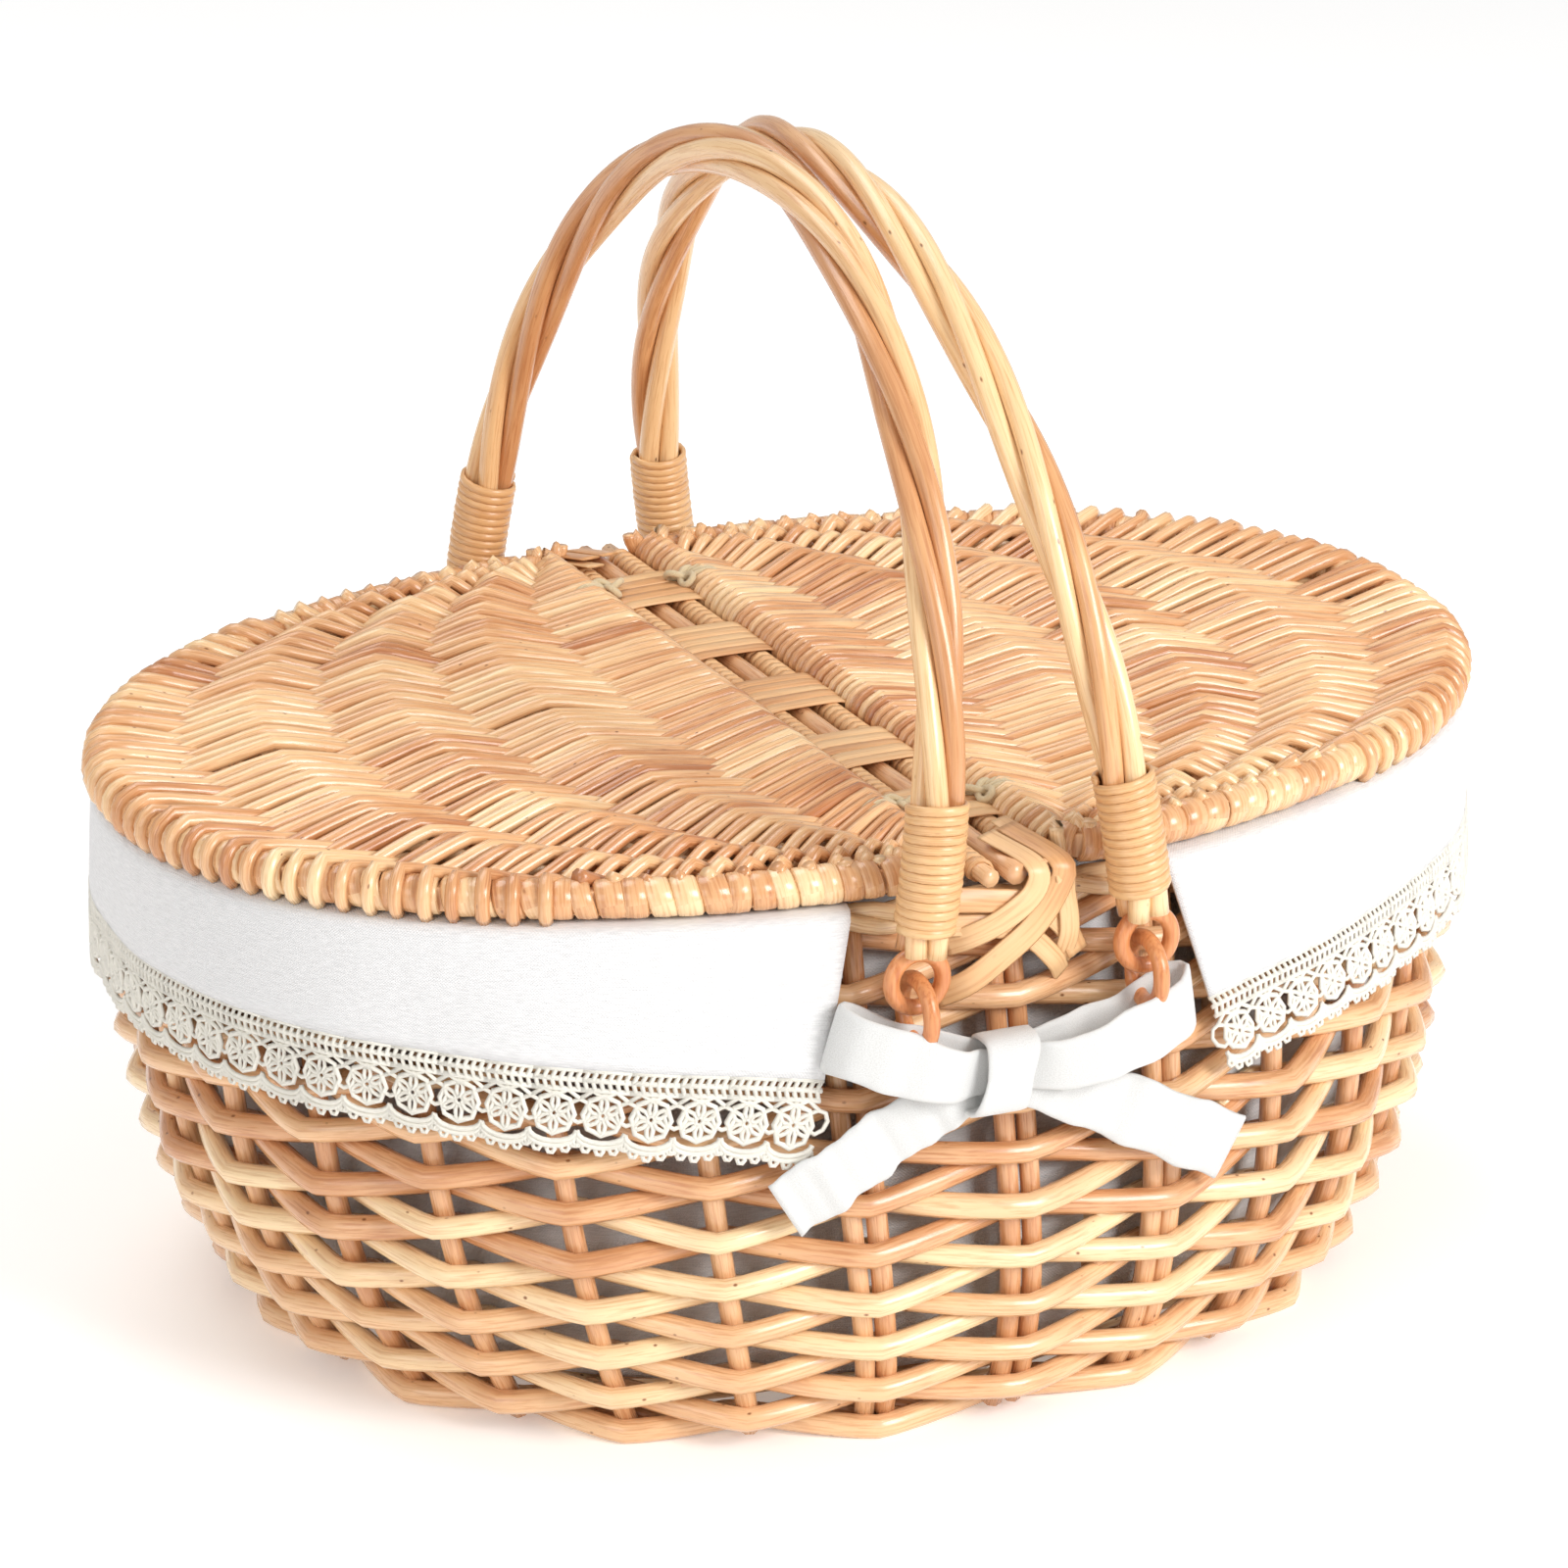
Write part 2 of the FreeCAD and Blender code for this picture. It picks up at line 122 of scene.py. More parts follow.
# Cloth
HEM_TOP_X = 0.045
HEM_TOP_Z = 0.157
HEM_LEAN = 0.26
LACE_DEPTH = 0.0225
LACE_REPEAT = 0.0131
CLOTH_THICK = 0.0008
HEM_GAP = 0.095             # what both hems leave open, taken off the valance's length
LACE_GAP = 0.108
LADDER = (0.0004, 0.0030, 0.0056)   # threads of the lace's ladder, down from the seam
FLOWER_DROP = 0.0122
LINER_HALVES = (0.1405, 0.1195)
LINER_INSET = 0.0190
TAPE_HALF = 0.0094
KNOT_X = -0.012
KNOT_Z = 0.109

# Camera
VIEW_AZIMUTH = math.radians(-25.4)
VIEW_ELEVATION = math.radians(21.02)
VIEW_AIM = (-0.0064, -0.0107, 0.1392)
VIEW_LENS = 169.05


# ---------------------------------------------------------------- curves

def oval(angle, half_length, half_width):
    """X and Y on the oval at an angle. All may be arrays."""
    power = 2.0 / OVAL_POWER
    return signed_power(np.cos(angle), power) * half_length, signed_power(np.sin(angle), power) * half_width


def wall_halves(z):
    """Outer half length and half width of the body at height z."""
    rest = np.maximum(1.0 - np.asarray(z, float) / RIM_TOP, 0.0)
    return (RIM_HALF_LENGTH - FOOT_INSET * rest ** TUCK_POWER,
            RIM_HALF_WIDTH + SIDE_BULGE * rest * (1.0 - SIDE_TUCK * rest ** 4))


def wall(angle, z, out=0.0):
    """Points on the body's outer surface moved outwards by out."""
    angle, z, out = np.broadcast_arrays(np.asarray(angle, float), z, out)
    a, b = wall_halves(z)
    x, y = oval(angle, a + out, b + out)
    return np.stack([x, y, z + 0.0 * x], axis=-1)


def front_y(x, z, out=0.0):
    """Half width of the body at a given x and height, with out added."""
    a, b = wall_halves(z)
    return (b + out) * (1.0 - (np.abs(x) / (a + out)) ** OVAL_POWER) ** (1.0 / OVAL_POWER)


def outward(angle):
    """Level unit vectors away from the oval at an angle."""
    flat = np.stack([np.cos(angle) / RIM_HALF_LENGTH, np.sin(angle) / RIM_HALF_WIDTH, 0 * angle], axis=-1)
    return flat / np.linalg.norm(flat, axis=-1, keepdims=True)


def zigzag(phase, sharpness):
    """Wave with nearly straight sides: 1 at phase 0 and -1 at pi."""
    return np.arcsin(sharpness * np.cos(phase)) / math.asin(sharpness)


def full_turn(count):
    """Angles of so many even steps round a circle."""
    return np.arange(count) * 2 * math.pi / count


def round_about(turn, a, b):
    """Unit circle at the given angles, from axis a towards axis b."""
    return np.cos(turn)[:, None] * a + np.sin(turn)[:, None] * b


def signed_power(v, power):
    return np.sign(v) * np.abs(v) ** power


def unit(v):
    return v / np.maximum(np.linalg.norm(v, axis=-1, keepdims=True), 1e-12)


def tangents(path, closed=False):
    return unit(np.roll(path, -1, 0) - np.roll(path, 1, 0) if closed else np.gradient(path, axis=0))


def lengths(path):
    return np.concatenate([[0.0], np.cumsum(np.linalg.norm(np.diff(path, axis=0), axis=1))])


def resample(path, stations):
    """Points of a path at the given distances along it."""
    s = lengths(path)
    return np.stack([np.interp(stations, s, path[:, k]) for k in range(3)], axis=1)


def smooth_path(points, count):
    """Catmull-Rom curve through a few points, evenly divided."""
    p = np.asarray(points, float)
    p = np.vstack([2 * p[0] - p[1], p, 2 * p[-1] - p[-2]])
    t = np.linspace(0, 1, 12, endpoint=False)[:, None]
    runs = []
    for a, b, c, d in zip(p, p[1:], p[2:], p[3:]):
        runs.append(0.5 * (2 * b + (c - a) * t + (2 * a - 5 * b + 4 * c - d) * t ** 2
                           + (3 * b - a - 3 * c + d) * t ** 3))
    dense = np.vstack(runs + [p[-2][None]])
    return resample(dense, np.linspace(0, lengths(dense)[-1], count))


# ---------------------------------------------------------------- rods and sheets

class Rods:
    """Collects rods, canes, threads and tapes, and makes one mesh of them."""

    def __init__(self, sides=8, square=2.0):
        turn = full_turn(sides)
        self.sides = sides
        self.thin = signed_power(np.cos(turn), 2.0 / square)
        self.wide = signed_power(np.sin(turn), 2.0 / square)
        self.points, self.faces, self.uvs, self.tints = [], [], [], []
        self.count = 0

    def add(self, path, radius, tint, flat=1.0, facing=None, across=None, closed=False):
        """Adds a rod. flat is its thickness over its width, facing the way its thin side looks."""
        path = np.asarray(path, float)
        n, k = len(path), self.sides
        tangent = tangents(path, closed)
        if across is not None:
            facing = np.cross(np.broadcast_to(across, path.shape), tangent)
        if facing is None:
            normal = self._carried(tangent)
        else:
            facing = np.broadcast_to(facing, path.shape)
            normal = unit(facing - tangent * (facing * tangent).sum(1, keepdims=True))
        side = np.cross(tangent, normal)
        radius = np.broadcast_to(radius, (n,))[:, None, None]
        flat = np.broadcast_to(flat, (n,))[:, None, None]
        rings = (path[:, None] + normal[:, None] * (self.thin[None, :, None] * radius * flat)
                 + side[:, None] * (self.wide[None, :, None] * radius))
        self.points.append(rings.reshape(-1, 3))
        self.tints.append(np.full(n * k, tint))
        base = self.count
        v = lengths(np.vstack([path, path[:1]]) if closed else path)
        spans = n if closed else n - 1
        i = np.repeat(np.arange(spans), k)
        j = np.tile(np.arange(k), spans)
        after, beside = (i + 1) % n, (j + 1) % k
        self.faces.extend(np.stack([base + i * k + j, base + i * k + beside,
                                    base + after * k + beside, base + after * k + j], 1).tolist())
        low, high = v[i], v[i + 1]
        u, w = j / k, (j + 1) / k
        self.uvs.append(np.stack([u, low, w, low, w, high, u, high], 1).reshape(-1, 2))
        if not closed:
            ring = list(range(k))
            self.faces.append([base + q for q in reversed(ring)])
            self.faces.append([base + (n - 1) * k + q for q in ring])
            self.uvs.append(np.tile([0.5, 0.0], (k, 1)))
            self.uvs.append(np.tile([0.5, v[-1]], (k, 1)))
        self.count += n * k

    @staticmethod
    def _carried(tangent):
        """Normals carried along a path without twisting."""
        axis = np.eye(3)[np.argmin(np.abs(tangent[0]))]
        normal = np.cross(tangent[0], axis)
        out = np.empty_like(tangent)
        for i, t in enumerate(tangent):
            normal = normal - t * normal.dot(t)
            normal = normal / math.sqrt(normal.dot(normal))
            out[i] = normal
        return out

    def make(self, name, body, look, replaced=()):
        points = np.vstack(self.points)
        mesh = bpy.data.meshes.new(name)
        mesh.from_pydata(points.tolist(), [], self.faces)
        layer = mesh.uv_layers.new(name="along")
        layer.data.foreach_set("uv", np.vstack(self.uvs).astype(np.float32).ravel())
        tint = mesh.attributes.new("tint", "FLOAT", "POINT")
        tint.data.foreach_set("value", np.concatenate(self.tints).astype(np.float32))
        mesh.shade_smooth()
        return dress(new_object(name, mesh), body, look, replaced)


def new_object(name, mesh):
    piece = bpy.data.objects.new(name, mesh)
    bpy.context.scene.collection.objects.link(piece)
    return piece


def dress(piece, body, look, replaced):
    """Gives a piece its finish and slot, and lets it ride on a body in place of CAD nodes."""
    piece.data.materials.append(finish(look))
    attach(piece, body)
    if replaced:
        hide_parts(*replaced)
    return piece


def cloth(name, grid, uv, replaced, closed=False):
    """Linen over a grid of points, given its thickness. Rows may close on themselves."""
    rows, columns = grid.shape[:2]
    mesh = bpy.data.meshes.new(name)
    faces, spots = [], []
    last = columns if closed else columns - 1
    for i in range(rows - 1):
        for j in range(last):
            q = (j + 1) % columns
            faces.append((i * columns + j, i * columns + q, (i + 1) * columns + q, (i + 1) * columns + j))
            u0, u1 = uv[0][j], uv[0][j + 1]
            spots += [(u0, uv[1][i]), (u1, uv[1][i]), (u1, uv[1][i + 1]), (u0, uv[1][i + 1])]
    mesh.from_pydata(grid.reshape(-1, 3).tolist(), [], faces)
    layer = mesh.uv_layers.new(name="along")
    layer.data.foreach_set("uv", np.array(spots, np.float32).ravel())
    mesh.shade_smooth()
    piece = new_object(name, mesh)
    bpy.ops.object.select_all(action="DESELECT")
    bpy.context.view_layer.objects.active = piece
    piece.select_set(True)
    bpy.ops.object.modifier_add(type="SOLIDIFY")
    piece.modifiers[-1].thickness = CLOTH_THICK
    piece.modifiers[-1].offset = 0.0
    bpy.ops.object.modifier_apply(modifier=piece.modifiers[-1].name)
    piece.select_set(False)
    return dress(piece, "basket", "linen", replaced)


# ---------------------------------------------------------------- materials

def srgb(r, g, b):
    """Colour given in the usual 0 to 255 steps, as the shader wants it."""
    out = []
    for v in (r, g, b):
        v /= 255.0
        out.append(v / 12.92 if v < 0.04045 else ((v + 0.055) / 1.055) ** 2.4)
    return (*out, 1.0)


class Nodes:
    """Short way to add and join nodes in a tree."""

    def __init__(self, tree):
        self.tree = tree

    def add(self, kind, **values):
        node = self.tree.nodes.new(kind)
        for key, value in values.items():
            setattr(node, key, value)
        return node

    def join(self, a, b):
        self.tree.links.new(b, a)

    def math(self, operation, a, b=None):
        node = self.add("ShaderNodeMath", operation=operation)
        for socket, value in zip(node.inputs, (a, b)):
            if value is None:
                continue
            if isinstance(value, (int, float)):
                socket.default_value = value
            else:
                self.join(value, socket)
        return node.outputs[0]

    def ramp(self, value, stops):
        node = self.add("ShaderNodeValToRGB")
        ramp = node.color_ramp
        while len(ramp.elements) < len(stops):
            ramp.elements.new(0.5)
        for element, (position, colour) in zip(ramp.elements, stops):
            element.position = position
            element.color = colour
        self.join(value, node.inputs[0])
        return node.outputs[0]

    def mix(self, factor, a, b, blend="MIX"):
        node = self.add("ShaderNodeMix", data_type="RGBA", blend_type=blend)
        for socket, value in ((node.inputs[0], factor), (node.inputs[6], a), (node.inputs[7], b)):
            if isinstance(value, (int, float, tuple)):
                socket.default_value = value
            else:
                self.join(value, socket)
        return node.outputs[2]

    def scaled(self, vector, scale):
        node = self.add("ShaderNodeMapping")
        node.inputs["Scale"].default_value = scale
        self.join(vector, node.inputs["Vector"])
        return node.outputs[0]

    def noise(self, vector, scale, detail=2.0):
        node = self.add("ShaderNodeTexNoise")
        node.inputs["Scale"].default_value = scale
        node.inputs["Detail"].default_value = detail
        self.join(vector, node.inputs["Vector"])
        return node.outputs[0]


def new_group(name, inputs, outputs):
    group = bpy.data.node_groups.new(name, "ShaderNodeTree")
    for label, kind in inputs:
        group.interface.new_socket(name=label, in_out="INPUT", socket_type=kind)
    for label, kind in outputs:
        group.interface.new_socket(name=label, in_out="OUTPUT", socket_type=kind)
    nodes = Nodes(group)
    return group, nodes, nodes.add("NodeGroupInput"), nodes.add("NodeGroupOutput")


def peeled_wood_group():
    """Streaks, slow drifts and small knots of peeled willow or cane.

    Place is a vector that runs along the rod in Z and round it in X and Y.
    """
    group, n, given, out = new_group(
        "Peeled Wood",
        [("Place", "NodeSocketVector"), ("Tint", "NodeSocketFloat"), ("Knots", "NodeSocketFloat")],
        [("Shade", "NodeSocketFloat"), ("Streak", "NodeSocketFloat"), ("Knot", "NodeSocketFloat"),
         ("Height", "NodeSocketFloat")])
    tint = given.outputs["Tint"]
    shift = n.add("ShaderNodeCombineXYZ")
    n.join(n.math("MULTIPLY", tint, 91.7), shift.inputs[2])
    moved = n.add("ShaderNodeVectorMath", operation="ADD")
    n.join(given.outputs["Place"], moved.inputs[0])
    n.join(shift.outputs[0], moved.inputs[1])
    streak = n.noise(n.scaled(moved.outputs[0], (2.6, 2.6, 0.22)), 1.6, 4.0)
    drift = n.noise(n.scaled(moved.outputs[0], (0.15, 0.15, 0.16)), 1.0, 1.0)
    shade = n.math("ADD", tint, n.math("MULTIPLY", n.math("SUBTRACT", drift, 0.5), 0.75))
    shade = n.math("ADD", shade, n.math("MULTIPLY", n.math("SUBTRACT", streak, 0.5), 0.55))
    n.join(shade, out.inputs["Shade"])
    n.join(streak, out.inputs["Streak"])
    spots = n.add("ShaderNodeTexVoronoi")
    spots.inputs["Scale"].default_value = 1.0
    n.join(n.scaled(moved.outputs[0], (0.5, 0.5, 0.42)), spots.inputs["Vector"])
    near = n.add("ShaderNodeMapRange")
    near.inputs["From Min"].default_value = 0.085
    near.inputs["From Max"].default_value = 0.035
    n.join(spots.outputs["Distance"], near.inputs["Value"])
    knot = n.math("MULTIPLY", near.outputs[0], given.outputs["Knots"])
    n.join(knot, out.inputs["Knot"])
    n.join(n.math("SUBTRACT", streak, n.math("MULTIPLY", knot, 0.8)), out.inputs["Height"])
    return group


def thread_group():
    """Plain weave of warp and weft with slubs, over a vector in metres."""
    group, n, given, out = new_group(
        "Plain Weave",
        [("Place", "NodeSocketVector"), ("Threads", "NodeSocketFloat")],
        [("Height", "NodeSocketFloat"), ("Slub", "NodeSocketFloat")])
    parts = n.add("ShaderNodeSeparateXYZ")
    n.join(given.outputs["Place"], parts.inputs[0])
    warp, weft = [n.math("SINE", n.math("MULTIPLY", parts.outputs[axis], given.outputs["Threads"]))
                  for axis in (0, 1)]
    weave = n.math("MULTIPLY", warp, weft)
    slub = n.noise(n.scaled(given.outputs["Place"], (260.0, 2600.0, 60.0)), 1.0)
    n.join(slub, out.inputs["Slub"])
    n.join(n.math("ADD", n.math("MULTIPLY", weave, 0.5), n.math("MULTIPLY", slub, 1.6)), out.inputs["Height"])
    return group


def shader(name, roughness, coat=0.0, sheen=0.0):
    material = bpy.data.materials.new(name)
    material.use_nodes = True
    nodes = Nodes(material.node_tree)
    principled = material.node_tree.nodes["Principled BSDF"]
    principled.inputs["Roughness"].default_value = roughness
    principled.inputs["Coat Weight"].default_value = coat
    principled.inputs["Coat Roughness"].default_value = 0.22
    principled.inputs["Sheen Weight"].default_value = sheen
    principled.inputs["Sheen Roughness"].default_value = 0.6
    return material, nodes, principled


def bump(nodes, principled, height, strength, distance):
    node = nodes.add("ShaderNodeBump")
    node.inputs["Strength"].default_value = strength
    node.inputs["Distance"].default_value = distance
    nodes.join(height, node.inputs["Height"])
    nodes.join(node.outputs[0], principled.inputs["Normal"])


def wood(group, name, stops, roughness, coat, along, knots=1.0, solid_tint=None):
    """Peeled wood for rods with their own UV map, or for solids when solid_tint is given."""
    material, n, principled = shader(name, roughness, coat)
    skin = n.add("ShaderNodeGroup", node_tree=group)
    if solid_tint is None:
        uv = n.add("ShaderNodeUVMap", uv_map="along")
        parts = n.add("ShaderNodeSeparateXYZ")
        n.join(uv.outputs[0], parts.inputs[0])
        turn = n.math("MULTIPLY", parts.outputs[0], 2 * math.pi)
        spot = n.add("ShaderNodeCombineXYZ")
        n.join(n.math("COSINE", turn), spot.inputs[0])
        n.join(n.math("SINE", turn), spot.inputs[1])
        n.join(n.math("MULTIPLY", parts.outputs[1], along), spot.inputs[2])
        n.join(spot.outputs[0], skin.inputs["Place"])
        tint = n.add("ShaderNodeAttribute", attribute_name="tint")
        n.join(tint.outputs["Fac"], skin.inputs["Tint"])
    else:
        here = n.add("ShaderNodeTexCoord")
        n.join(n.scaled(here.outputs["Object"], (along, along, along)), skin.inputs["Place"])
        skin.inputs["Tint"].default_value = solid_tint
    skin.inputs["Knots"].default_value = knots
    colour = n.ramp(skin.outputs["Shade"], stops)
    lines = n.ramp(skin.outputs["Streak"], [(0.28, srgb(196, 150, 112)), (0.5, (1, 1, 1, 1))])
    colour = n.mix(0.38, colour, lines, "MULTIPLY")
    colour = n.mix(skin.outputs["Knot"], colour, srgb(140, 90, 54))
    n.join(colour, principled.inputs["Base Color"])
    rough = n.math("ADD", n.math("MULTIPLY", skin.outputs["Streak"], 0.22), roughness - 0.11)
    n.join(rough, principled.inputs["Roughness"])
    bump(n, principled, skin.outputs["Height"], 0.35, 0.0004)
    return material


def fabric(group, name, colour, shade, threads):
    """Cotton or linen with its threads in the bump and slubs in the colour."""
    material, n, principled = shader(name, 0.85, sheen=0.25)
    weave = n.add("ShaderNodeGroup", node_tree=group)
    uv = n.add("ShaderNodeUVMap", uv_map="along")
    n.join(uv.outputs[0], weave.inputs["Place"])
    weave.inputs["Threads"].default_value = threads
    tone = n.ramp(weave.outputs["Slub"], [(0.3, srgb(*shade)), (0.62, srgb(*colour))])
    n.join(tone, principled.inputs["Base Color"])
    bump(n, principled, weave.outputs["Height"], 0.5, 0.00025)
    return material


# Shades from dark to pale: (place in the ramp, red, green, blue)
PALETTES = {
    "willow": ((0.0, 208, 150, 104), (0.25, 226, 176, 130), (0.5, 235, 191, 144), (0.75, 240, 204, 158),
               (1.0, 245, 216, 170)),
    "lid": ((0.0, 192, 128, 82), (0.22, 214, 156, 106), (0.5, 230, 181, 132), (0.75, 239, 199, 150),
            (1.0, 246, 215, 168)),
    "handle": ((0.02, 206, 148, 100), (0.3, 224, 172, 120), (0.6, 234, 190, 138), (0.95, 242, 206, 156)),
    "cane": ((0.1, 198, 140, 88), (0.4, 219, 168, 114), (0.7, 230, 185, 131), (0.95, 240, 204, 152)),
    "splint": ((0.1, 202, 146, 96), (0.45, 222, 171, 119), (0.8, 233, 192, 142)),
    "rattan": ((0.1, 186, 106, 56), (0.45, 208, 132, 80), (0.8, 222, 158, 104)),
}

# Finish: material, palette, roughness, coat, grain steps in a metre, knots, tint of a solid piece
WOODS = {
    "willow": ("Willow rods", "willow", 0.28, 0.55, 260.0),
    "lid": ("Willow lid rods", "lid", 0.27, 0.6, 260.0),
    "handle": ("Willow handle rods", "handle", 0.28, 0.5, 180.0),
    "cane": ("Split cane", "cane", 0.36, 0.35, 200.0, 0.4),
    "splint": ("Flat splint", "splint", 0.42, 0.2, 160.0, 0.3),
    "core": ("Hidden willow core", "willow", 0.5, 0.1, 200.0, 0.4, 0.35),
    "rattan": ("Rattan core loops", "rattan", 0.34, 0.35, 260.0, 0.2, 0.45),
}

# Finish: material, colour, shade of the slubs, threads
FABRICS = {
    "linen": ("White cotton linen", (229, 228, 228), (212, 211, 211), 7000.0),
    "tape": ("White cotton tape", (237, 237, 235), (219, 218, 215), 8000.0),
    "lace": ("Cream lace thread", (253, 249, 238), (246, 240, 226), 9000.0),
    "twine": ("Cream twine", (238, 218, 178), (210, 184, 140), 6000.0),
}


def make_materials(settings):
    skin = peeled_wood_group()
    threads = thread_group()
    ramps = {key: [(mark[0], srgb(*mark[1:])) for mark in marks] for key, marks in PALETTES.items()}
    ramps["willow"][2] = (0.5, (*settings.willow_colour, 1.0))
    made = {}
    for key, (name, palette, *rest) in WOODS.items():
        made[key] = wood(skin, name, ramps[palette], *rest)
    for key, values in FABRICS.items():
        made[key] = fabric(threads, *values)
    return made


MADE = {}


def finish(name):
    """A finish by its short name. All are made together the first time one is asked for."""
    if not MADE:
        MADE.update(make_materials(bpy.context.scene.basket))
    return MADE[name]


# ---------------------------------------------------------------- body

def wall_rods(settings):
    """Rows of thick rods that pass in front of one stake and behind the next."""
    rng = np.random.default_rng(11)
    rods = Rods(9)
    runs = ((12, 16), (10, 18), (14, 14), (8, 8, 12), (10, 8, 10), (16, 12))
    pitch = (TOP_ROW - FOOT_ROW) / (settings.rows - 1)
    for row in range(settings.rows):
        level = FOOT_ROW + row * pitch
        lift = rng.normal(0, settings.unevenness, STAKES)
        push = rng.normal(0, 0.0003, STAKES)
        stake = 2 * int(rng.integers(STAKES // 2)) + (row + 1) % 2
        for run in runs[int(rng.integers(len(runs)))]:
            at = stake + np.arange(-0.5, run + 0.51, 0.125)
            near_end = np.minimum(at - at[0], at[-1] - at)
            tuck = np.clip(1 - near_end / 0.9, 0, 1)
            share = (at - at[0]) / (at[-1] - at[0])
            front = zigzag(math.pi * (at + row), 0.992)
            swing = (0.0058 - 0.0005 * abs(rng.normal())) * front
            uneven = np.interp(at, np.arange(-STAKES, 3 * STAKES), np.tile(push, 4))
            out = WALL_MIDDLE + swing - 0.0014 * tuck + np.minimum(uneven, 0.0)
            rise = np.interp(at, np.arange(-STAKES, 3 * STAKES), np.tile(lift, 4))
            cross = 0.0011 * tuck * np.where(share < 0.5, 1, -1)
            radius = settings.rod_radius * (1.07 - 0.16 * share) * (1 + 0.03 * rng.normal())
            dip = 0.0019 * front * min(1.0, 0.3 + 0.2 * row)
            rods.add(wall(at * STAKE_STEP, level + rise + cross - dip, out), radius, rng.random())
            stake += run
    rods.make("woven_wall", "basket", "willow", ["side_weave"])


def wall_stakes(settings):
    rng = np.random.default_rng(12)
    rods = Rods(8)
    for i in range(STAKES):
        z = np.linspace(0.003, 0.1475, 15)
        doubled = abs(math.cos(i * STAKE_STEP)) < 0.4
        for beside in (-0.016, 0.016) if doubled else (0.0,):
            lean = rng.normal(0, 0.005)
            angle = i * STAKE_STEP + beside + lean * np.linspace(0.2, 1, 15)
            # The stakes take only the darkest willow shades (tint 0 to 0.35): painted shade for the shaded
            # gaps between the rows where they show.
            rods.add(wall(angle, z, WALL_MIDDLE), settings.rod_radius * rng.uniform(0.82, 0.92),
                     rng.uniform(0.0, 0.35))
    rods.make("wall_stakes", "basket", "willow", ["side_stakes"])


def rope(rods, centre, facing, strands, turns, spread, radius, rng, closed=True, phase=0.0):
    """Rods twisted about each other along a path."""
    tangent = tangents(centre, closed)
    normal = unit(facing - tangent * (facing * tangent).sum(1, keepdims=True))
    side = np.cross(tangent, normal)
    steps = np.arange(len(centre)) / (len(centre) if closed else len(centre) - 1)
    for j in range(strands):
        turn = phase + 2 * math.pi * (j / strands + turns * steps)
        path = centre + spread * round_about(turn, normal, side)
        rods.add(path, radius, rng.random(), facing=normal, closed=closed)


def borders():
    rng = np.random.default_rng(13)
    angle = full_turn(STAKES * 9)
    top = Rods(8)
    rope(top, wall(angle, 0.1474, -0.0078), outward(angle), 3, 26, 0.0026, 0.0024, rng)
    top.make("rim_plait", "basket", "willow", ["top_border"])
    foot = Rods(8)
    rope(foot, wall(angle, 0.0046, -0.0145), outward(angle), 2, 24, 0.0018, 0.0023, rng)
    foot.make("foot_plait", "basket", "willow", ["foot_border"])


def base_rings():
    """Rings of rods woven over and under the base sticks."""
    rng = np.random.default_rng(14)
    rods = Rods(6)
    angle = full_turn(100)
    for ring in range(24):
        inset = 0.0022 + ring * 0.0049
        x, y = oval(angle, BASE_HALF_LENGTH - inset, BASE_HALF_WIDTH - inset)
        z = BASE_Z + 0.0022 * zigzag(10 * angle + math.pi * ring, 0.8)
        rods.add(np.stack([x, y, z], 1), 0.0022, rng.random(), facing=(0, 0, 1), closed=True)
    rods.make("base_rings", "basket", "willow", ["base_weave"])


# ---------------------------------------------------------------- lids

def hoop_path(side):
    """Centre line of the bent hoop, from the front end of the bar round to its back end."""
    angle = np.linspace(-math.pi / 2 + 0.002, math.pi / 2 - 0.002, 500)
    x, y = oval(angle, HOOP_HALF_LENGTH, HOOP_HALF_WIDTH)
    keep = x > BAR_X + CORNER
    x, y = x[keep], y[keep]
    t = np.linspace(0, 1, 12)[:-1, None]
    corner = np.array([BAR_X, y[0] - 0.0004])
    start, end = np.array([BAR_X, y[0] + CORNER]), np.array([x[0], y[0]])
    bend = (1 - t) ** 2 * start + 2 * t * (1 - t) * corner + t ** 2 * end
    plan = np.vstack([bend, np.stack([x, y], 1), (bend * [1, -1])[::-1]])
    return np.column_stack([side * plan[:, 0], plan[:, 1], np.full(len(plan), LID_Z)])


def hoop_binding(side, name):
    """Flattened turns of rod wrapped closely round the hoop."""
    rng = np.random.default_rng(31 + side)
    rods = Rods(8, 3.2)
    path = hoop_path(side)
    total = lengths(path)[-1]
    turn = full_turn(14)
    s, tint = 0.002, rng.random()
    while s < total - 0.002:
        edge = min(s, total - s) / total
        width = rng.uniform(0.0052, 0.0078) if edge < 0.28 else rng.uniform(0.0042, 0.0056)
        if rng.random() < 0.5:
            tint = rng.uniform(0.15, 0.8)
        here = resample(path, np.array([s - 0.001, s, s + 0.001]))
        tangent = unit(here[2] - here[0])
        out = np.array([tangent[1], -tangent[0], 0.0]) * side
        out = out if out[0] * side > 0 or abs(out[0]) > 0.3 else out * np.sign(out[1] * here[1][1])
        radial = round_about(turn, out, UP)
        slant = rng.normal(0.0009, 0.0004) * np.sin(turn)[:, None] * tangent
        reach = BINDING_REACH + rng.uniform(0, 0.0003)
        half = width * 0.54
        rods.add(here[1] + radial * reach + slant, half, np.clip(tint + rng.normal(0, 0.06), 0, 1),
                 flat=BINDING_THICK / half, facing=radial, closed=True)
        s += width
    rods.make(f"{name}_hoop_wrapping", name, "lid", [f"{name}_binding"])


def lid_ribs(side, name):
    rng = np.random.default_rng(41 + side)
    rods = Rods(8)
    for offset in RIB_OFFSETS:
        y = np.linspace(-0.124, 0.124, 25)
        x = BAR_X + offset * np.sqrt(1 - (y / 0.133) ** 2)
        rods.add(np.column_stack([side * x, y, np.full(25, LID_Z)]), RIB_R, rng.random())
    rods.make(f"{name}_bowed_ribs", name, "lid", [f"{name}_ribs"])


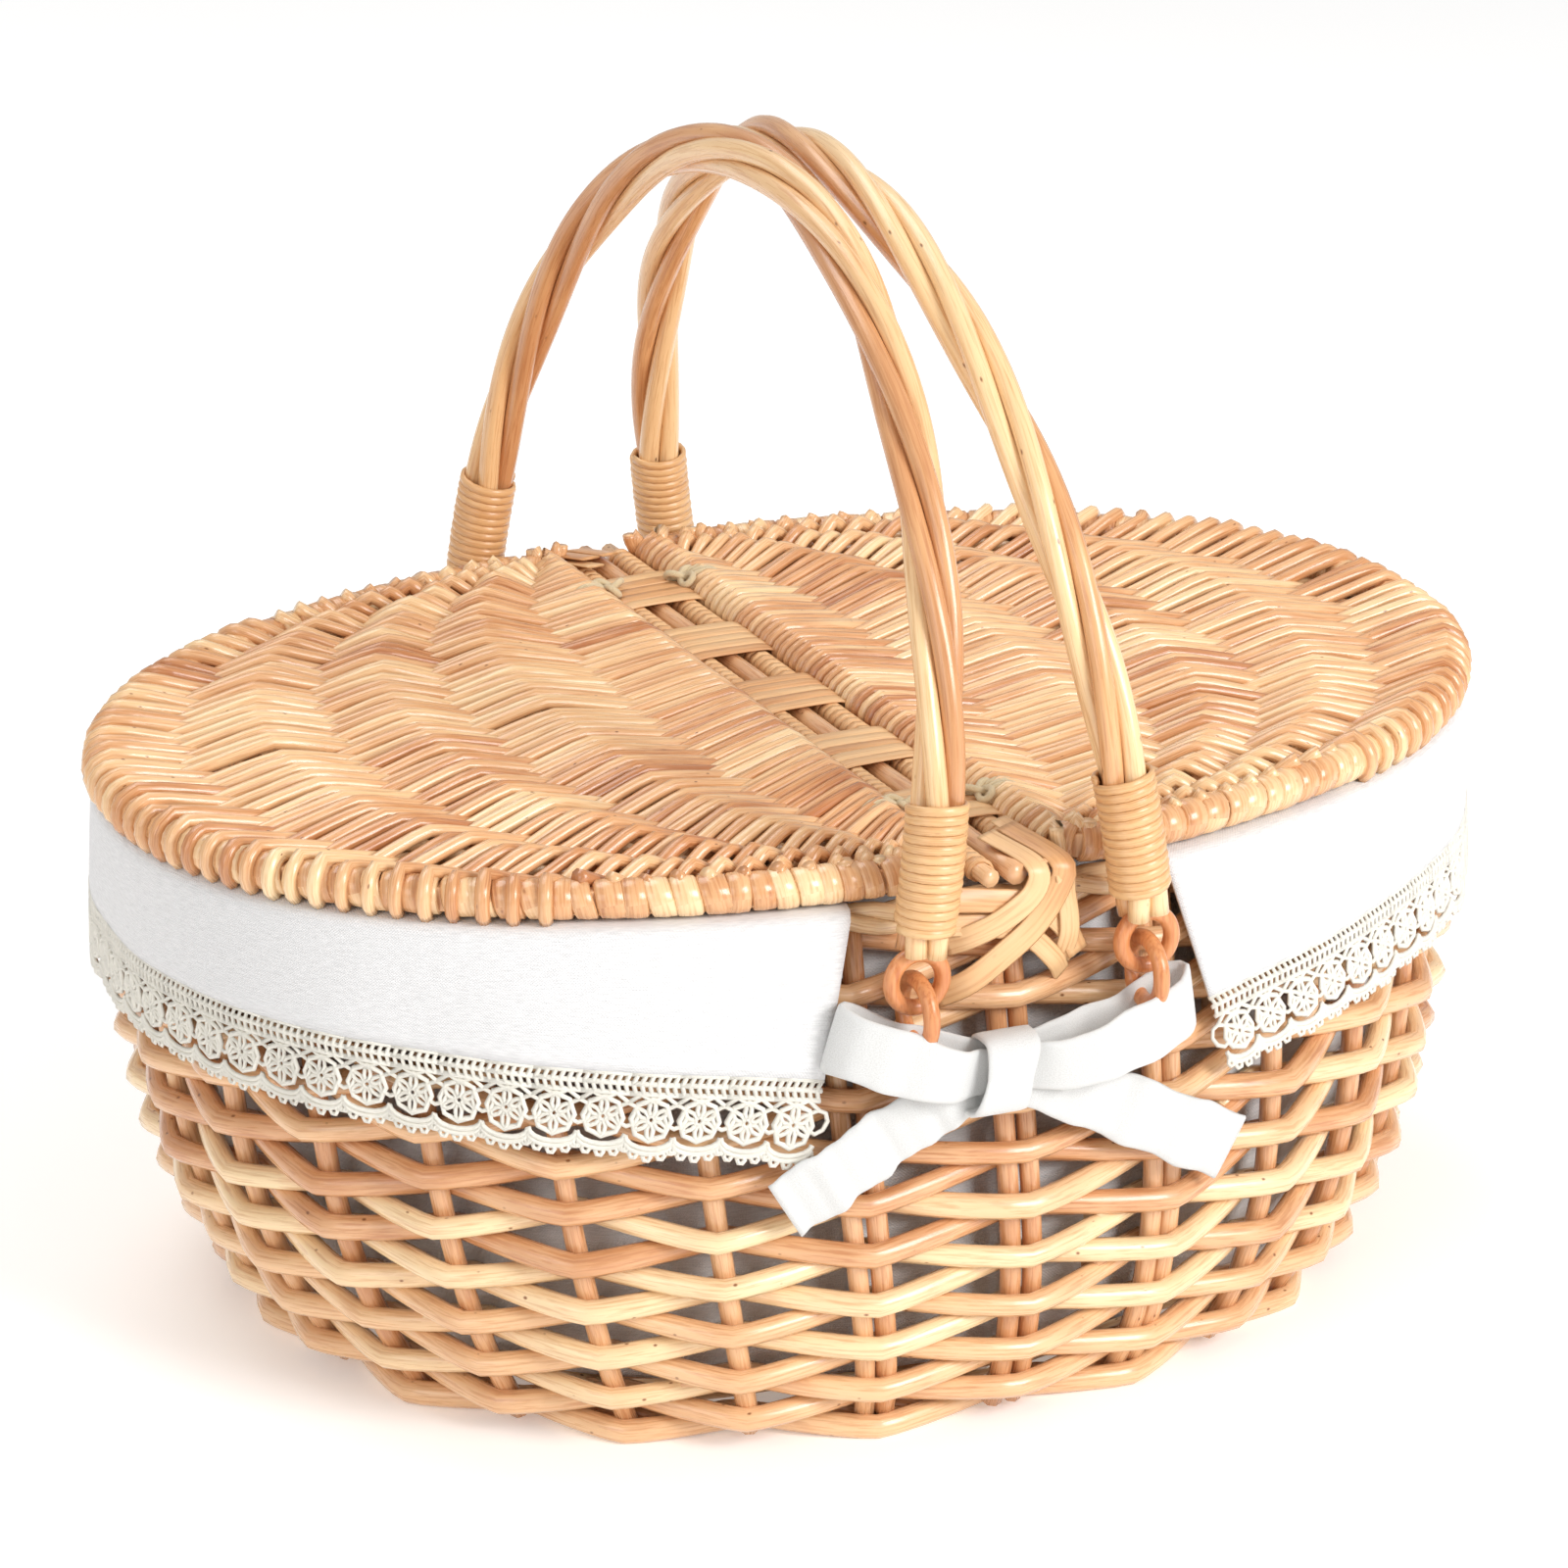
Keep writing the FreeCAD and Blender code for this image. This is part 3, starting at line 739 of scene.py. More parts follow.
def lid_point(t, share):
    """Plan position on the line of the strand that leaves the bar at t, at a share of its length."""
    x, y = oval(t * STRAND_END, HOOP_HALF_LENGTH, HOOP_HALF_WIDTH)
    return BAR_X + (x - BAR_X) * share, BAR_HALF * t + (y - BAR_HALF * t) * share


def lid_strand(rods, side, centre_t, over, settings, rng):
    """Four rods side by side that go over one rib and under the next, from the bar to the hoop."""
    dense = np.linspace(0, 1, 120)
    x, y = lid_point(centre_t, dense)
    reach = (x - BAR_X) / np.sqrt(1 - (y / 0.1335) ** 2)
    reach = np.maximum.accumulate(reach / reach[-1]) * HOOP_OFFSET
    crossing = np.interp(reach, (0, *RIB_OFFSETS, HOOP_OFFSET), (0, 1, 2, 3, 4))
    bay = np.linspace(0.0, 4.0, 31) if over else np.linspace(0.12, 3.88, 31)
    share = np.interp(bay, crossing, dense)
    up = zigzag(math.pi * bay, 0.992) * (1 if over else -1)
    squeeze = 0.84 + 0.16 * np.clip(0.5 + 0.75 * up, 0, 1)
    crossed = np.sin(math.pi * bay) ** 2
    family = rng.random()
    for j in range(STRAND_RODS):
        spread = (j - (STRAND_RODS - 1) / 2 + (0.25 if over else -0.25)) * 2 / LID_STRANDS / STRAND_RODS
        t = centre_t + spread * squeeze + rng.normal(0, 0.0010)
        x, y = lid_point(t, share)
        z = LID_Z + 0.0009 + settings.lid_wave * up + 0.0003 * crossed * (1 if j % 2 else -1)
        z = z + rng.normal(0, 0.00045) * np.minimum(bay, 1) + 0.0002 * np.sin(bay * 3 + rng.uniform(0, 6))
        path = np.column_stack([side * x, y, z])
        radius = np.interp(bay, (0, 4), (0.00182, 0.00216)) * rng.uniform(0.84, 1.06)
        if over:
            path, radius = wrapped_ends(path, radius, side, t[-1])
        rods.add(path, radius, 0.5 * family + 0.5 * rng.random())


def wrapped_ends(path, radius, side, t):
    """Takes a rod on round the straight bar, and round the hoop where the hoop lies across it."""
    turn = np.radians([215, 190, 165, 140, 115])
    outwards = np.array([side, 0, 0.0])
    bar = np.array([side * BAR_X, path[0][1], LID_Z])
    start = bar + BAR_WRAP_R * round_about(turn, outwards, UP)
    pieces, radii = [start, path], [np.full(len(turn), radius[0]), radius]
    if abs(t) < 0.62:
        angle = t * STRAND_END
        x, y = oval(angle, 1 / HOOP_HALF_LENGTH, 1 / HOOP_HALF_WIDTH)
        out = unit(np.array([side * x, y, 0.0]))
        turn = np.radians([70, 45, 20, -5, -30, -60])
        hoop = np.array([path[-1][0], path[-1][1], LID_Z])
        end = hoop + HOOP_WRAP_R * round_about(turn, out, UP)
        pieces.append(end)
        radii.append(np.full(len(turn), radius[-1]))
    return np.vstack(pieces), np.concatenate(radii)


def lid_weave(side, name, settings):
    rng = np.random.default_rng(51 + side)
    rods = Rods(8)
    for i in range(LID_STRANDS):
        lid_strand(rods, side, (i + 0.5) * 2 / LID_STRANDS - 1, True, settings, rng)
    for i in range(LID_STRANDS - 1):
        lid_strand(rods, side, (i + 1.0) * 2 / LID_STRANDS - 1, False, settings, rng)
    rods.make(f"{name}_woven_rods", name, "lid", [f"{name}_weave"])


# ---------------------------------------------------------------- bridge

def flat_loop(half_x, half_z, centre, skew):
    """Closed loop of a flat splint round the bridge rods, and the way it faces."""
    power = 5.0
    turn = full_turn(20)
    x = signed_power(np.cos(turn), 2 / power) * half_x
    z = signed_power(np.sin(turn), 2 / power) * half_z
    facing = unit(np.stack([signed_power(x / half_x, power - 1) / half_x, 0 * turn,
                            signed_power(z / half_z, power - 1) / half_z], 1))
    return np.array(centre) + np.stack([x, skew * x / half_x, z], 1), facing


def bridge_rods():
    rng = np.random.default_rng(61)
    rods = Rods(10)
    for x, radius in ((-BRIDGE_ROD_X, 0.0026), (0.0, 0.0031), (BRIDGE_ROD_X, 0.0026)):
        y = np.linspace(-BRIDGE_HALF, BRIDGE_HALF, 30)
        path = np.column_stack([np.full(30, x) + 0.0003 * np.sin(y * 60 + x * 900), y, np.full(30, BRIDGE_Z)])
        rods.add(path, radius, 0.2 if x == 0 else 0.5)
    rods.make("bridge_long_rods", "basket", "willow", ["bridge_rods"])
    wraps = Rods(6, 3.0)
    steps = np.arange(0, 2 * (BRIDGE_HALF - BARE_END), WRAP_PITCH / 10)
    turn = steps / WRAP_PITCH * 2 * math.pi
    radial = np.stack([np.cos(turn), 0 * turn, np.sin(turn)], 1)
    for x in (-BRIDGE_ROD_X, BRIDGE_ROD_X):
        path = np.column_stack([x + 0 * turn, steps - BRIDGE_HALF + BARE_END, BRIDGE_Z + 0 * turn])
        path = path + radial * 0.0031
        wraps.add(path, 0.0017, 0.62, flat=0.34, facing=radial)
    wraps.make("bridge_fine_wrapping", "basket", "splint")
    bands = Rods(8, 4.0)
    for i in range(BANDS):
        y = (i - (BANDS - 1) / 2) * BAND_PITCH
        skew = rng.normal(0, 0.0006)
        for j in range(BAND_STRIPS):
            path, facing = flat_loop(0.0128, 0.0041 + 0.00015 * (j % 2),
                                     (0, y + (j - (BAND_STRIPS - 1) / 2) * 0.0051, BRIDGE_Z),
                                     skew + rng.normal(0, 0.0004))
            bands.add(path, 0.0026, rng.uniform(0.3, 0.9), flat=0.16, facing=facing, closed=True)
    bands.make("bridge_splint_bands", "basket", "splint", ["bridge_splint"])


# Ribbons of one lashing, in millimetres: half width, and marks of (x, height, out from the wall).
# A mark whose last number, turned into metres, is below ON_TOP lies over the bridge and gives its y instead.
RIBBONS = (
    (3.3, ((-19, 153.5, 3.0), (-9, 152, 3.4), (4, 149, 3.2), (13, 142, 2.0), (18, 133, 0.2))),
    (3.0, ((-21, 146, 0.4), (-9, 145, 2.4), (2, 141, 2.6), (10, 133, 1.4), (14, 127, -3.0))),
    (3.6, ((6, 164, -122), (12.5, 160, -141), (11.5, 153, 4.6), (4, 144, 4.2), (-6, 137, 3.4),
           (-16, 131, 2.2), (-24, 126.5, -3.0))),
    (3.3, ((-1, 163.5, -124), (5, 160, -141), (4, 153, 5.0), (-5, 147, 4.6), (-14, 143, 2.4),
           (-20, 140, -2.0))),
    (3.0, ((7, 163.6, -116), (12.5, 158.5, -140), (14, 150, 3.8), (14.5, 140, 3.0), (13, 131, -1.4))),
)
ON_TOP = -0.1


def lashing(end, name):
    """Flat splints that cross over the rim and hold one end of the bridge down."""
    rng = np.random.default_rng(71 + end)
    rods = Rods(8, 4.0)
    for half_width, marks in RIBBONS:
        half_width /= 1000
        points = []
        for x, z, spot in np.array(marks) / 1000:
            points.append((x, spot if spot < ON_TOP else -front_y(x, z, spot), z))
        path = smooth_path(points, 34)
        level = np.clip((path[:, 2] - 0.152) / 0.010, 0, 1)[:, None]
        facing = unit((1 - level) * np.array([0, -1.0, 0.25]) + level * np.array([0.0, -0.3, 1.0]))
        path, facing = path * [-end, -end, 1], facing * [-end, -end, 1]
        rods.add(path, half_width, rng.uniform(0.3, 0.9), flat=0.0004 / half_width, facing=facing)
    rods.make(name + "_splints", "basket", "splint", [name])


def lid_tie(side, name):
    """Two turns of twine round the bar and a small knot beside the bridge."""
    rods = Rods(7)
    for y in (-TIE_Y, TIE_Y):
        turn = np.linspace(0, 5 * math.pi, 56)
        radial = np.stack([side * np.cos(turn), 0 * turn, np.sin(turn)], 1)
        path = np.array([side * BAR_X, y, LID_Z]) + radial * TWINE_REACH
        path[:, 1] += np.linspace(-0.0022, 0.0022, 56)
        rods.add(path, TWINE_R, 0.5)
        k = np.linspace(0, 2 * math.pi, 40, endpoint=False)
        knot = np.column_stack([side * (BAR_X - 0.0062) + 0.0021 * (np.sin(k) + 1.4 * np.sin(2 * k)) * side,
                                y + 0.0021 * (np.cos(k) - 1.4 * np.cos(2 * k)),
                                LID_Z + 0.0048 - 0.0013 * np.sin(3 * k)])
        rods.add(knot, 0.0010, 0.5, facing=(0, 0, 1), closed=True)
    rods.make(name + "_twine", "basket", "twine", [name])


# ---------------------------------------------------------------- handles

def arch(low, high=None):
    """Arch of a handle in its own upright plane, as (y, height) from the front foot to the back."""
    middle = HANDLE_RISE - HANDLE_LEG - HANDLE_TOP_R
    side_r = (HANDLE_SPAN ** 2 + middle ** 2 - HANDLE_TOP_R ** 2) / (2 * (HANDLE_SPAN - HANDLE_TOP_R))
    turn = math.atan2(middle, side_r - HANDLE_SPAN)
    a = np.linspace(0, turn, 60)
    b = np.linspace(turn, math.pi / 2, 60)[1:]
    leg = [(-HANDLE_SPAN, h) for h in np.linspace(low, HANDLE_LEG, 8)[:-1]]
    bend = np.column_stack([side_r - HANDLE_SPAN - side_r * np.cos(a), HANDLE_LEG + side_r * np.sin(a)])
    top = np.column_stack([-HANDLE_TOP_R * np.cos(b), HANDLE_LEG + middle + HANDLE_TOP_R * np.sin(b)])
    half = np.vstack([leg, bend, top])
    if high is not None:
        return half[half[:, 1] <= high]
    return np.vstack([half, (half * [-1, 1])[::-1][1:]])


def lean_over(flat_path, side):
    """Leans an upright arch against its neighbour and sets it on its axis."""
    y, h = flat_path[:, 0], flat_path[:, 1]
    x = HANDLE_X - h * math.sin(HANDLE_LEAN)
    return np.column_stack([side * x, y, HANDLE_Z + h * math.cos(HANDLE_LEAN)])


def handle(side, name, settings):
    rng = np.random.default_rng(81 + side)
    flat_side = np.array([side * math.cos(HANDLE_LEAN), 0, math.sin(HANDLE_LEAN)])
    centre = lean_over(arch(HANDLE_START), side)
    centre = resample(centre, np.linspace(0, lengths(centre)[-1], 120))
    rods = Rods(12)
    turns = settings.handle_twist * side
    rope(rods, centre, np.broadcast_to(flat_side, centre.shape), 4, turns, BUNDLE_REACH, BUNDLE_R, rng,
         closed=False, phase=math.pi / 4 - math.pi * turns)
    rods.make(f"{name}_twisted_rods", name, "handle", [f"{name}_rods"])
    bound = lean_over(arch(BINDING_LOW, BINDING_HIGH), side)
    turn = np.linspace(0, CANE_TURNS * 2 * math.pi, 13 * 16)
    spine = resample(bound, np.linspace(0.0008, lengths(bound)[-1] - 0.0008, len(turn)))
    radial = round_about(turn, flat_side, np.cross(tangents(spine), flat_side))
    for end, label in ((1, "front"), (-1, "back")):
        binding = Rods(7, 2.4)
        path = (spine + radial * CANE_REACH) * [1, end, 1]
        binding.add(path, CANE_R, rng.random() * 0.3 + 0.4, flat=0.55, facing=radial * [1, end, 1])
        binding.make(f"{name}_cane_{label}", name, "cane", [f"{name}_binding_{label}"])


# ---------------------------------------------------------------- cloth

def hem_x(z):
    return HEM_TOP_X + HEM_LEAN * (HEM_TOP_Z - z)


ROUND = np.linspace(-math.pi / 2, math.pi / 2, 400)
ROUND_LENGTH = lengths(wall(ROUND, 0.115))


def around(share, z):
    """Angle on the wall at a share of the way from the front hem round one end to the back hem."""
    x = hem_x(z) / wall_halves(z)[0]
    hem_angle = -np.arccos(x ** (OVAL_POWER / 2))
    start = np.interp(hem_angle, ROUND, ROUND_LENGTH)
    return np.interp(start + (ROUND_LENGTH[-1] - 2 * start) * share, ROUND_LENGTH, ROUND)


def lace_top(share, side):
    """Height of the seam between the cloth and the lace."""
    return (0.1105 if side < 0 else 0.1135) + 0.0115 * np.maximum(np.sin(math.pi * share), 0.0) ** 0.8


def wave(share, depth, side):
    """How far the hanging cloth stands off the wall, with depth from 0 at the rim to 1 at the seam."""
    ripple = (np.sin(share * 23 + side) * 0.5 + np.sin(share * 41 + 2 + side) * 0.3
              + np.sin(share * 67 + 1) * 0.2)
    return 0.0014 + 0.0007 * depth + 0.0008 * depth * ripple


def valance(side, name):
    """Turned over the rim at the top and hanging outside, from hem to hem round one end."""
    columns = 181
    share = np.linspace(0, 1, columns)
    top = lace_top(share, side)
    rows = []
    for out, z in ((-0.0163, 0.1495), (-0.0163, 0.1516), (-0.0150, 0.1527), (-0.0080, 0.1530),
                   (-0.0010, 0.1529), (0.0006, 0.1520)):
        rows.append(wall(around(share, np.full(columns, z)), z, out))
    drop = np.linspace(0, 1, 13)
    for d in drop:
        z = 0.1505 + (top - 0.1505) * d
        rows.append(wall(around(share, z), z, wave(share, d, side)))
    grid = np.array(rows) * [side, 1, 1]
    length = ROUND_LENGTH[-1] - HEM_GAP
    across = np.concatenate([np.array([0, 0.002, 0.0038, 0.0108, 0.0178, 0.0198]), 0.0215 + 0.037 * drop])
    if side < 0:
        grid = grid[:, ::-1]
    piece = cloth(name + "_cloth", grid, (share * length, across), [name])
    return piece, length, across[-1]


def lace_cell(rods, spot, add_left):
    """One repeat of the lace: ladder, trellis, eyelet flower and scallop. spot turns (u, v) into points."""
    w, thick = LACE_REPEAT, 0.00080

    def thread(points, closed=False, radius=0.00068):
        u, v = np.array(points, float).T
        p = spot(u, v)
        rods.add(p, radius, 0.5, facing=p * [1, 1, 0] + 1e-9, closed=closed)

    def circle(u, v, radius, count, wobble=0.0):
        a = full_turn(count)
        radius = radius * (1 + wobble * np.cos(count / 2 * a))
        return np.column_stack([u + radius * np.cos(a), v + radius * np.sin(a)])

    for v in LADDER:
        thread([(0, v), (w / 2, v), (w, v)], radius=thick)
    for i in range(6):
        u = (i + 0.5) * w / 6
        thread([(u + slip, v) for slip, v in zip((-0.0006, 0.0004, -0.0005), LADDER)])
    for u in (0.0, w):
        if u > 0 or add_left:
            thread(circle(u, 0.0112, 0.0031, 8), True)
    thread([(0, 0.0080), (w * 0.25, 0.0058), (w * 0.5, 0.0074), (w * 0.75, 0.0058), (w, 0.0080)])
    thread(circle(w / 2, FLOWER_DROP, 0.0011, 6), True)
    thread(circle(w / 2, FLOWER_DROP, 0.0052, 16, 0.05), True, thick)
    for i in range(6):
        a = (i + 0.5) * math.pi / 3
        c, s = math.cos(a), math.sin(a)
        petal = circle(0, 0, 1.0, 7) * [0.0019, 0.0009] + [0.0030, 0]
        thread(np.column_stack([w / 2 + petal[:, 0] * c - petal[:, 1] * s,
                                FLOWER_DROP + petal[:, 0] * s + petal[:, 1] * c]), True)
    for deep in (0.0, 0.0013):
        a = np.linspace(0, math.pi, 9)
        thread(np.column_stack([w / 2 - (w / 2) * np.cos(a), 0.0166 + deep + 0.0031 * np.sin(a)]),
               radius=thick)
    for a in (0.35, 0.95, 1.57, 2.19, 2.79):
        thread(circle(w / 2 - (w / 2) * math.cos(a), 0.0187 + 0.0031 * math.sin(a), 0.0011, 6), True, 0.00066)


def lace(side, name):
    rng = np.random.default_rng(91 + side)
    rods = Rods(4)
    cells = int(round((ROUND_LENGTH[-1] - LACE_GAP) / LACE_REPEAT))
    for i in range(cells):
        tilt = rng.normal(0, 0.0003)

        def spot(u, v):
            share = (i * LACE_REPEAT + u) / (cells * LACE_REPEAT)
            top = lace_top(share, side)
            z = top - v - tilt * (v > 0.016)
            hang = v / LACE_DEPTH
            out = wave(share, 1.0, side) - 0.0002 + 0.0010 * hang * (0.6 + np.sin(share * 90 + side) * 0.5)
            return wall(around(share, z), z, out) * [side, 1, 1]

        lace_cell(rods, spot, i == 0)
    return rods.make(name + "_crochet", "basket", "lace", [name])


def liner():
    """Bag of cloth that lines the inside: a floor and a wall in one sheet."""
    rng = np.random.default_rng(95)
    columns = 160
    angle = full_turn(columns)
    bumps = rng.normal(0, 1, 12)
    rows, across = [], []
    for share in (0.03, 0.25, 0.5, 0.75, 0.92, 0.985):
        x, y = oval(angle, LINER_HALVES[0] * share, LINER_HALVES[1] * share)
        rows.append(np.stack([x, y, 0.0142 + 0.0006 * np.sin(5 * angle + share * 9) * share], 1))
        across.append(0.13 * share)
    for z in np.linspace(0.0158, 0.1505, 20):
        crease = sum(b * np.sin((k + 3) * angle + k * z * 60) for k, b in enumerate(bumps)) / 12
        rows.append(wall(angle, z, -LINER_INSET - 0.0012 * np.abs(crease)))
        across.append(0.13 + z)
    uv = (np.arange(columns + 1) / columns, across)
    return cloth("liner_cloth", np.array(rows), uv, ["liner_bag"], True)


def tape_strip(rods, marks, across, taper):
    """One rippled strip of tape, and its length."""
    count = 44
    path = smooth_path(marks, count)
    run = np.linspace(0, 1, count)
    ripple = 0.0006 * np.sin(run * 31 + TAPE_HALF * 900) + 0.0004 * np.sin(run * 57 + 1.3)
    path = path + ripple[:, None] * np.cross(tangents(path), unit(across))
    width = TAPE_HALF * np.interp(run, *taper) * (1 + 0.05 * np.sin(run * 24 + 0.7))
    rods.add(path, width, 0.5, flat=0.00085 / width, across=across)
    return lengths(path)[-1]


def bow(end, name):
    """Cotton tape tied in a bow: two loops, two tails and the turn that holds them."""
    rods = Rods(12, 5.0)

    def at(x, z, out):
        return (x, -float(front_y(x, z, out)), z)

    pieces = []
    for hand in (-1, 1):
        tip = (-0.057, 0.123) if hand < 0 else (0.049, 0.1180)
        run, rise = tip[0] - KNOT_X, tip[1] - KNOT_Z
        up = unit(np.array([-rise * hand, 0, abs(run)]))
        marks = [at(KNOT_X + hand * 0.003, KNOT_Z + 0.001, 0.0085)]
        for share, out, sag in ((0.3, 0.0135, 0.002), (0.6, 0.0160, 0.001), (0.88, 0.0130, 0.0),
                                (1.0, 0.0075, 0.0), (0.88, 0.0030, 0.0), (0.5, 0.0036, 0.0015),
                                (0.05, 0.0050, 0.0)):
            marks.append(at(KNOT_X + run * share, KNOT_Z + rise * share - sag, out))
        pieces.append((marks, up * hand, ((0, 0.16, 0.5, 1.0), (0.62, 0.86, 1.0, 0.8))))
        tail = (-0.071, 0.077) if hand < 0 else (0.060, 0.072)
        run, fall = tail[0] - KNOT_X, tail[1] - KNOT_Z
        up = unit(np.array([-hand * fall, 0, abs(run)]))
        marks = [at(KNOT_X + hand * 0.002, KNOT_Z - 0.002, 0.0066)]
        for share, out in ((0.25, 0.0064), (0.5, 0.0034), (0.75, 0.0044), (1.0, 0.0030)):
            marks.append(at(KNOT_X + run * share, KNOT_Z + fall * share ** 1.12, out))
        pieces.append((marks, up * hand, ((0, 0.2, 0.5, 1.0), (0.66, 0.9, 1.0, 1.05))))
    face = np.array([end, end, 1])
    total = 0.0
    for marks, across, taper in pieces:
        total += tape_strip(rods, np.array(marks) * face, across * face, taper)
    turn = full_turn(22)
    s = np.sin(turn)
    knot_y = float(front_y(KNOT_X, KNOT_Z, 0.0085))
    path = np.column_stack([KNOT_X + 0.0020 * s, -knot_y + 0.0066 * signed_power(np.cos(turn), 0.6),
                            KNOT_Z + 0.0102 * signed_power(s, 0.8)]) * face
    rods.add(path, 0.0068 + 0.0012 * np.abs(s), 0.5, flat=0.11, across=(1, 0, 0), closed=True)
    piece = rods.make(name + "_tape", "basket", "tape", [name])


# ---------------------------------------------------------------- stage

def softbox(name, spot, aim, size, power):
    bpy.ops.object.light_add(type="AREA", location=spot)
    lamp = bpy.context.object
    lamp.name = name
    lamp.data.shape = "RECTANGLE"
    lamp.data.size, lamp.data.size_y = size
    lamp.data.energy = power
    lamp.rotation_mode = "QUATERNION"
    lamp.rotation_quaternion = (Vector(aim) - Vector(spot)).to_track_quat("-Z", "Y")


def floor_material():
    material, n, principled = shader("Pale floor", 0.7)
    here = n.add("ShaderNodeTexCoord")
    tone = n.ramp(n.noise(here.outputs["Object"], 1.2),
                  [(0.3, srgb(247, 246, 245)), (0.7, srgb(250, 250, 250))])
    n.join(tone, principled.inputs["Base Color"])
    principled.inputs["Emission Color"].default_value = (1, 1, 1, 1)
    principled.inputs["Emission Strength"].default_value = 0.22
    return material


def make_stage(settings):
    bpy.ops.mesh.primitive_plane_add(size=14.0, location=(0, 2.0, 0))
    floor = bpy.context.object
    floor.name = "studio_floor"
    floor.data.materials.append(floor_material())
    world = bpy.data.worlds.new("Studio")
    bpy.context.scene.world = world
    world.use_nodes = True
    world.node_tree.nodes["Background"].inputs["Color"].default_value = (1.0, 0.995, 0.985, 1)
    world.node_tree.nodes["Background"].inputs["Strength"].default_value = settings.sky
    softbox("Key", (0.72, -1.55, 1.0), (0, 0, 0.12), (0.8, 0.8), settings.key_light)
    softbox("Top", (-0.25, 0.75, 1.7), (0, 0, 0.15), (1.3, 1.0), settings.key_light * 0.42)
    softbox("Fill", (-1.5, -0.9, 0.8), (0, 0, 0.12), (1.0, 1.0), settings.key_light * 0.22)
    level = math.cos(VIEW_ELEVATION)
    back = Vector((math.sin(VIEW_AZIMUTH) * level, -math.cos(VIEW_AZIMUTH) * level, math.sin(VIEW_ELEVATION)))
    bpy.ops.object.camera_add(location=Vector(VIEW_AIM) + back * settings.camera_distance)
    camera = bpy.context.object
    camera.data.lens = VIEW_LENS
    camera.data.sensor_width = 36.0
    camera.rotation_mode = "QUATERNION"
    camera.rotation_quaternion = (-back).to_track_quat("-Z", "Y")
    camera.data.clip_start, camera.data.clip_end = 0.05, 50.0
    bpy.context.scene.camera = camera
    bpy.context.scene.view_settings.view_transform = "Standard"


# ---------------------------------------------------------------- add-on

def distance(name, description, default):
    return FloatProperty(name=name, description=description, default=default, unit="LENGTH",
                         subtype="DISTANCE")


class BasketSettings(bpy.types.PropertyGroup):
    """Sizes and colours of the basket that a maker would change."""
    rows: IntProperty(name="Rows", description="Rows of rods in the wall", default=20, min=4, max=30)
    rod_radius: distance("Rod radius", "Radius of a wall rod", 0.00340)
    unevenness: distance("Unevenness", "How far the rows wander up and down", 0.00045)
    lid_wave: distance("Lid wave", "How far the lid rods rise over the ribs", 0.0049)
    handle_twist: FloatProperty(name="Handle twist", description="Turns of the rods in a handle", default=2.5)
    willow_colour: FloatVectorProperty(name="Willow colour", description="Middle shade of the willow",
                                       default=srgb(235, 191, 144)[:3], subtype="COLOR", size=3, min=0, max=1)
    sky: FloatProperty(name="Sky", description="Strength of the white surroundings", default=0.52)
    key_light: FloatProperty(name="Key light", description="Power of the main softbox", default=28.0,
                             unit="POWER")
    camera_distance: distance("Camera distance", "From the camera to the basket", 2.056)


class Step:
    """What every step shares: it makes its pieces from the scene's settings."""

    def execute(self, context):
        self.build(context.scene.basket)
        return {"FINISHED"}


class BASKET_OT_body(Step, bpy.types.Operator):
    """Weaves the wall, its stakes, the two borders and the base"""
    bl_idname = "basket.body"
    bl_label = "Weave body"

    def build(self, settings):
        wall_rods(settings)
        wall_stakes(settings)
        borders()
        base_rings()


class BASKET_OT_lids(Step, bpy.types.Operator):
    """Weaves both half lids and wraps their hoops"""
    bl_idname = "basket.lids"
    bl_label = "Weave lids"

    def build(self, settings):
        for side, name in ((-1, "lid_left"), (1, "lid_right")):
            hoop_binding(side, name)
            lid_ribs(side, name)
            lid_weave(side, name, settings)
            lid_tie(side, name.replace("lid", "lid_ties"))


class BASKET_OT_bridge(Step, bpy.types.Operator):
    """Lays the bridge rods, wraps them and lashes them to the rim"""
    bl_idname = "basket.bridge"
    bl_label = "Bind bridge"

    def build(self, settings):
        bridge_rods()
        lashing(-1, "bridge_lashing_front")
        lashing(1, "bridge_lashing_back")


class BASKET_OT_handles(Step, bpy.types.Operator):
    """Twists both handles and binds their ends with cane"""
    bl_idname = "basket.handles"
    bl_label = "Twist handles"

    def build(self, settings):
        handle(-1, "handle_left", settings)
        handle(1, "handle_right", settings)


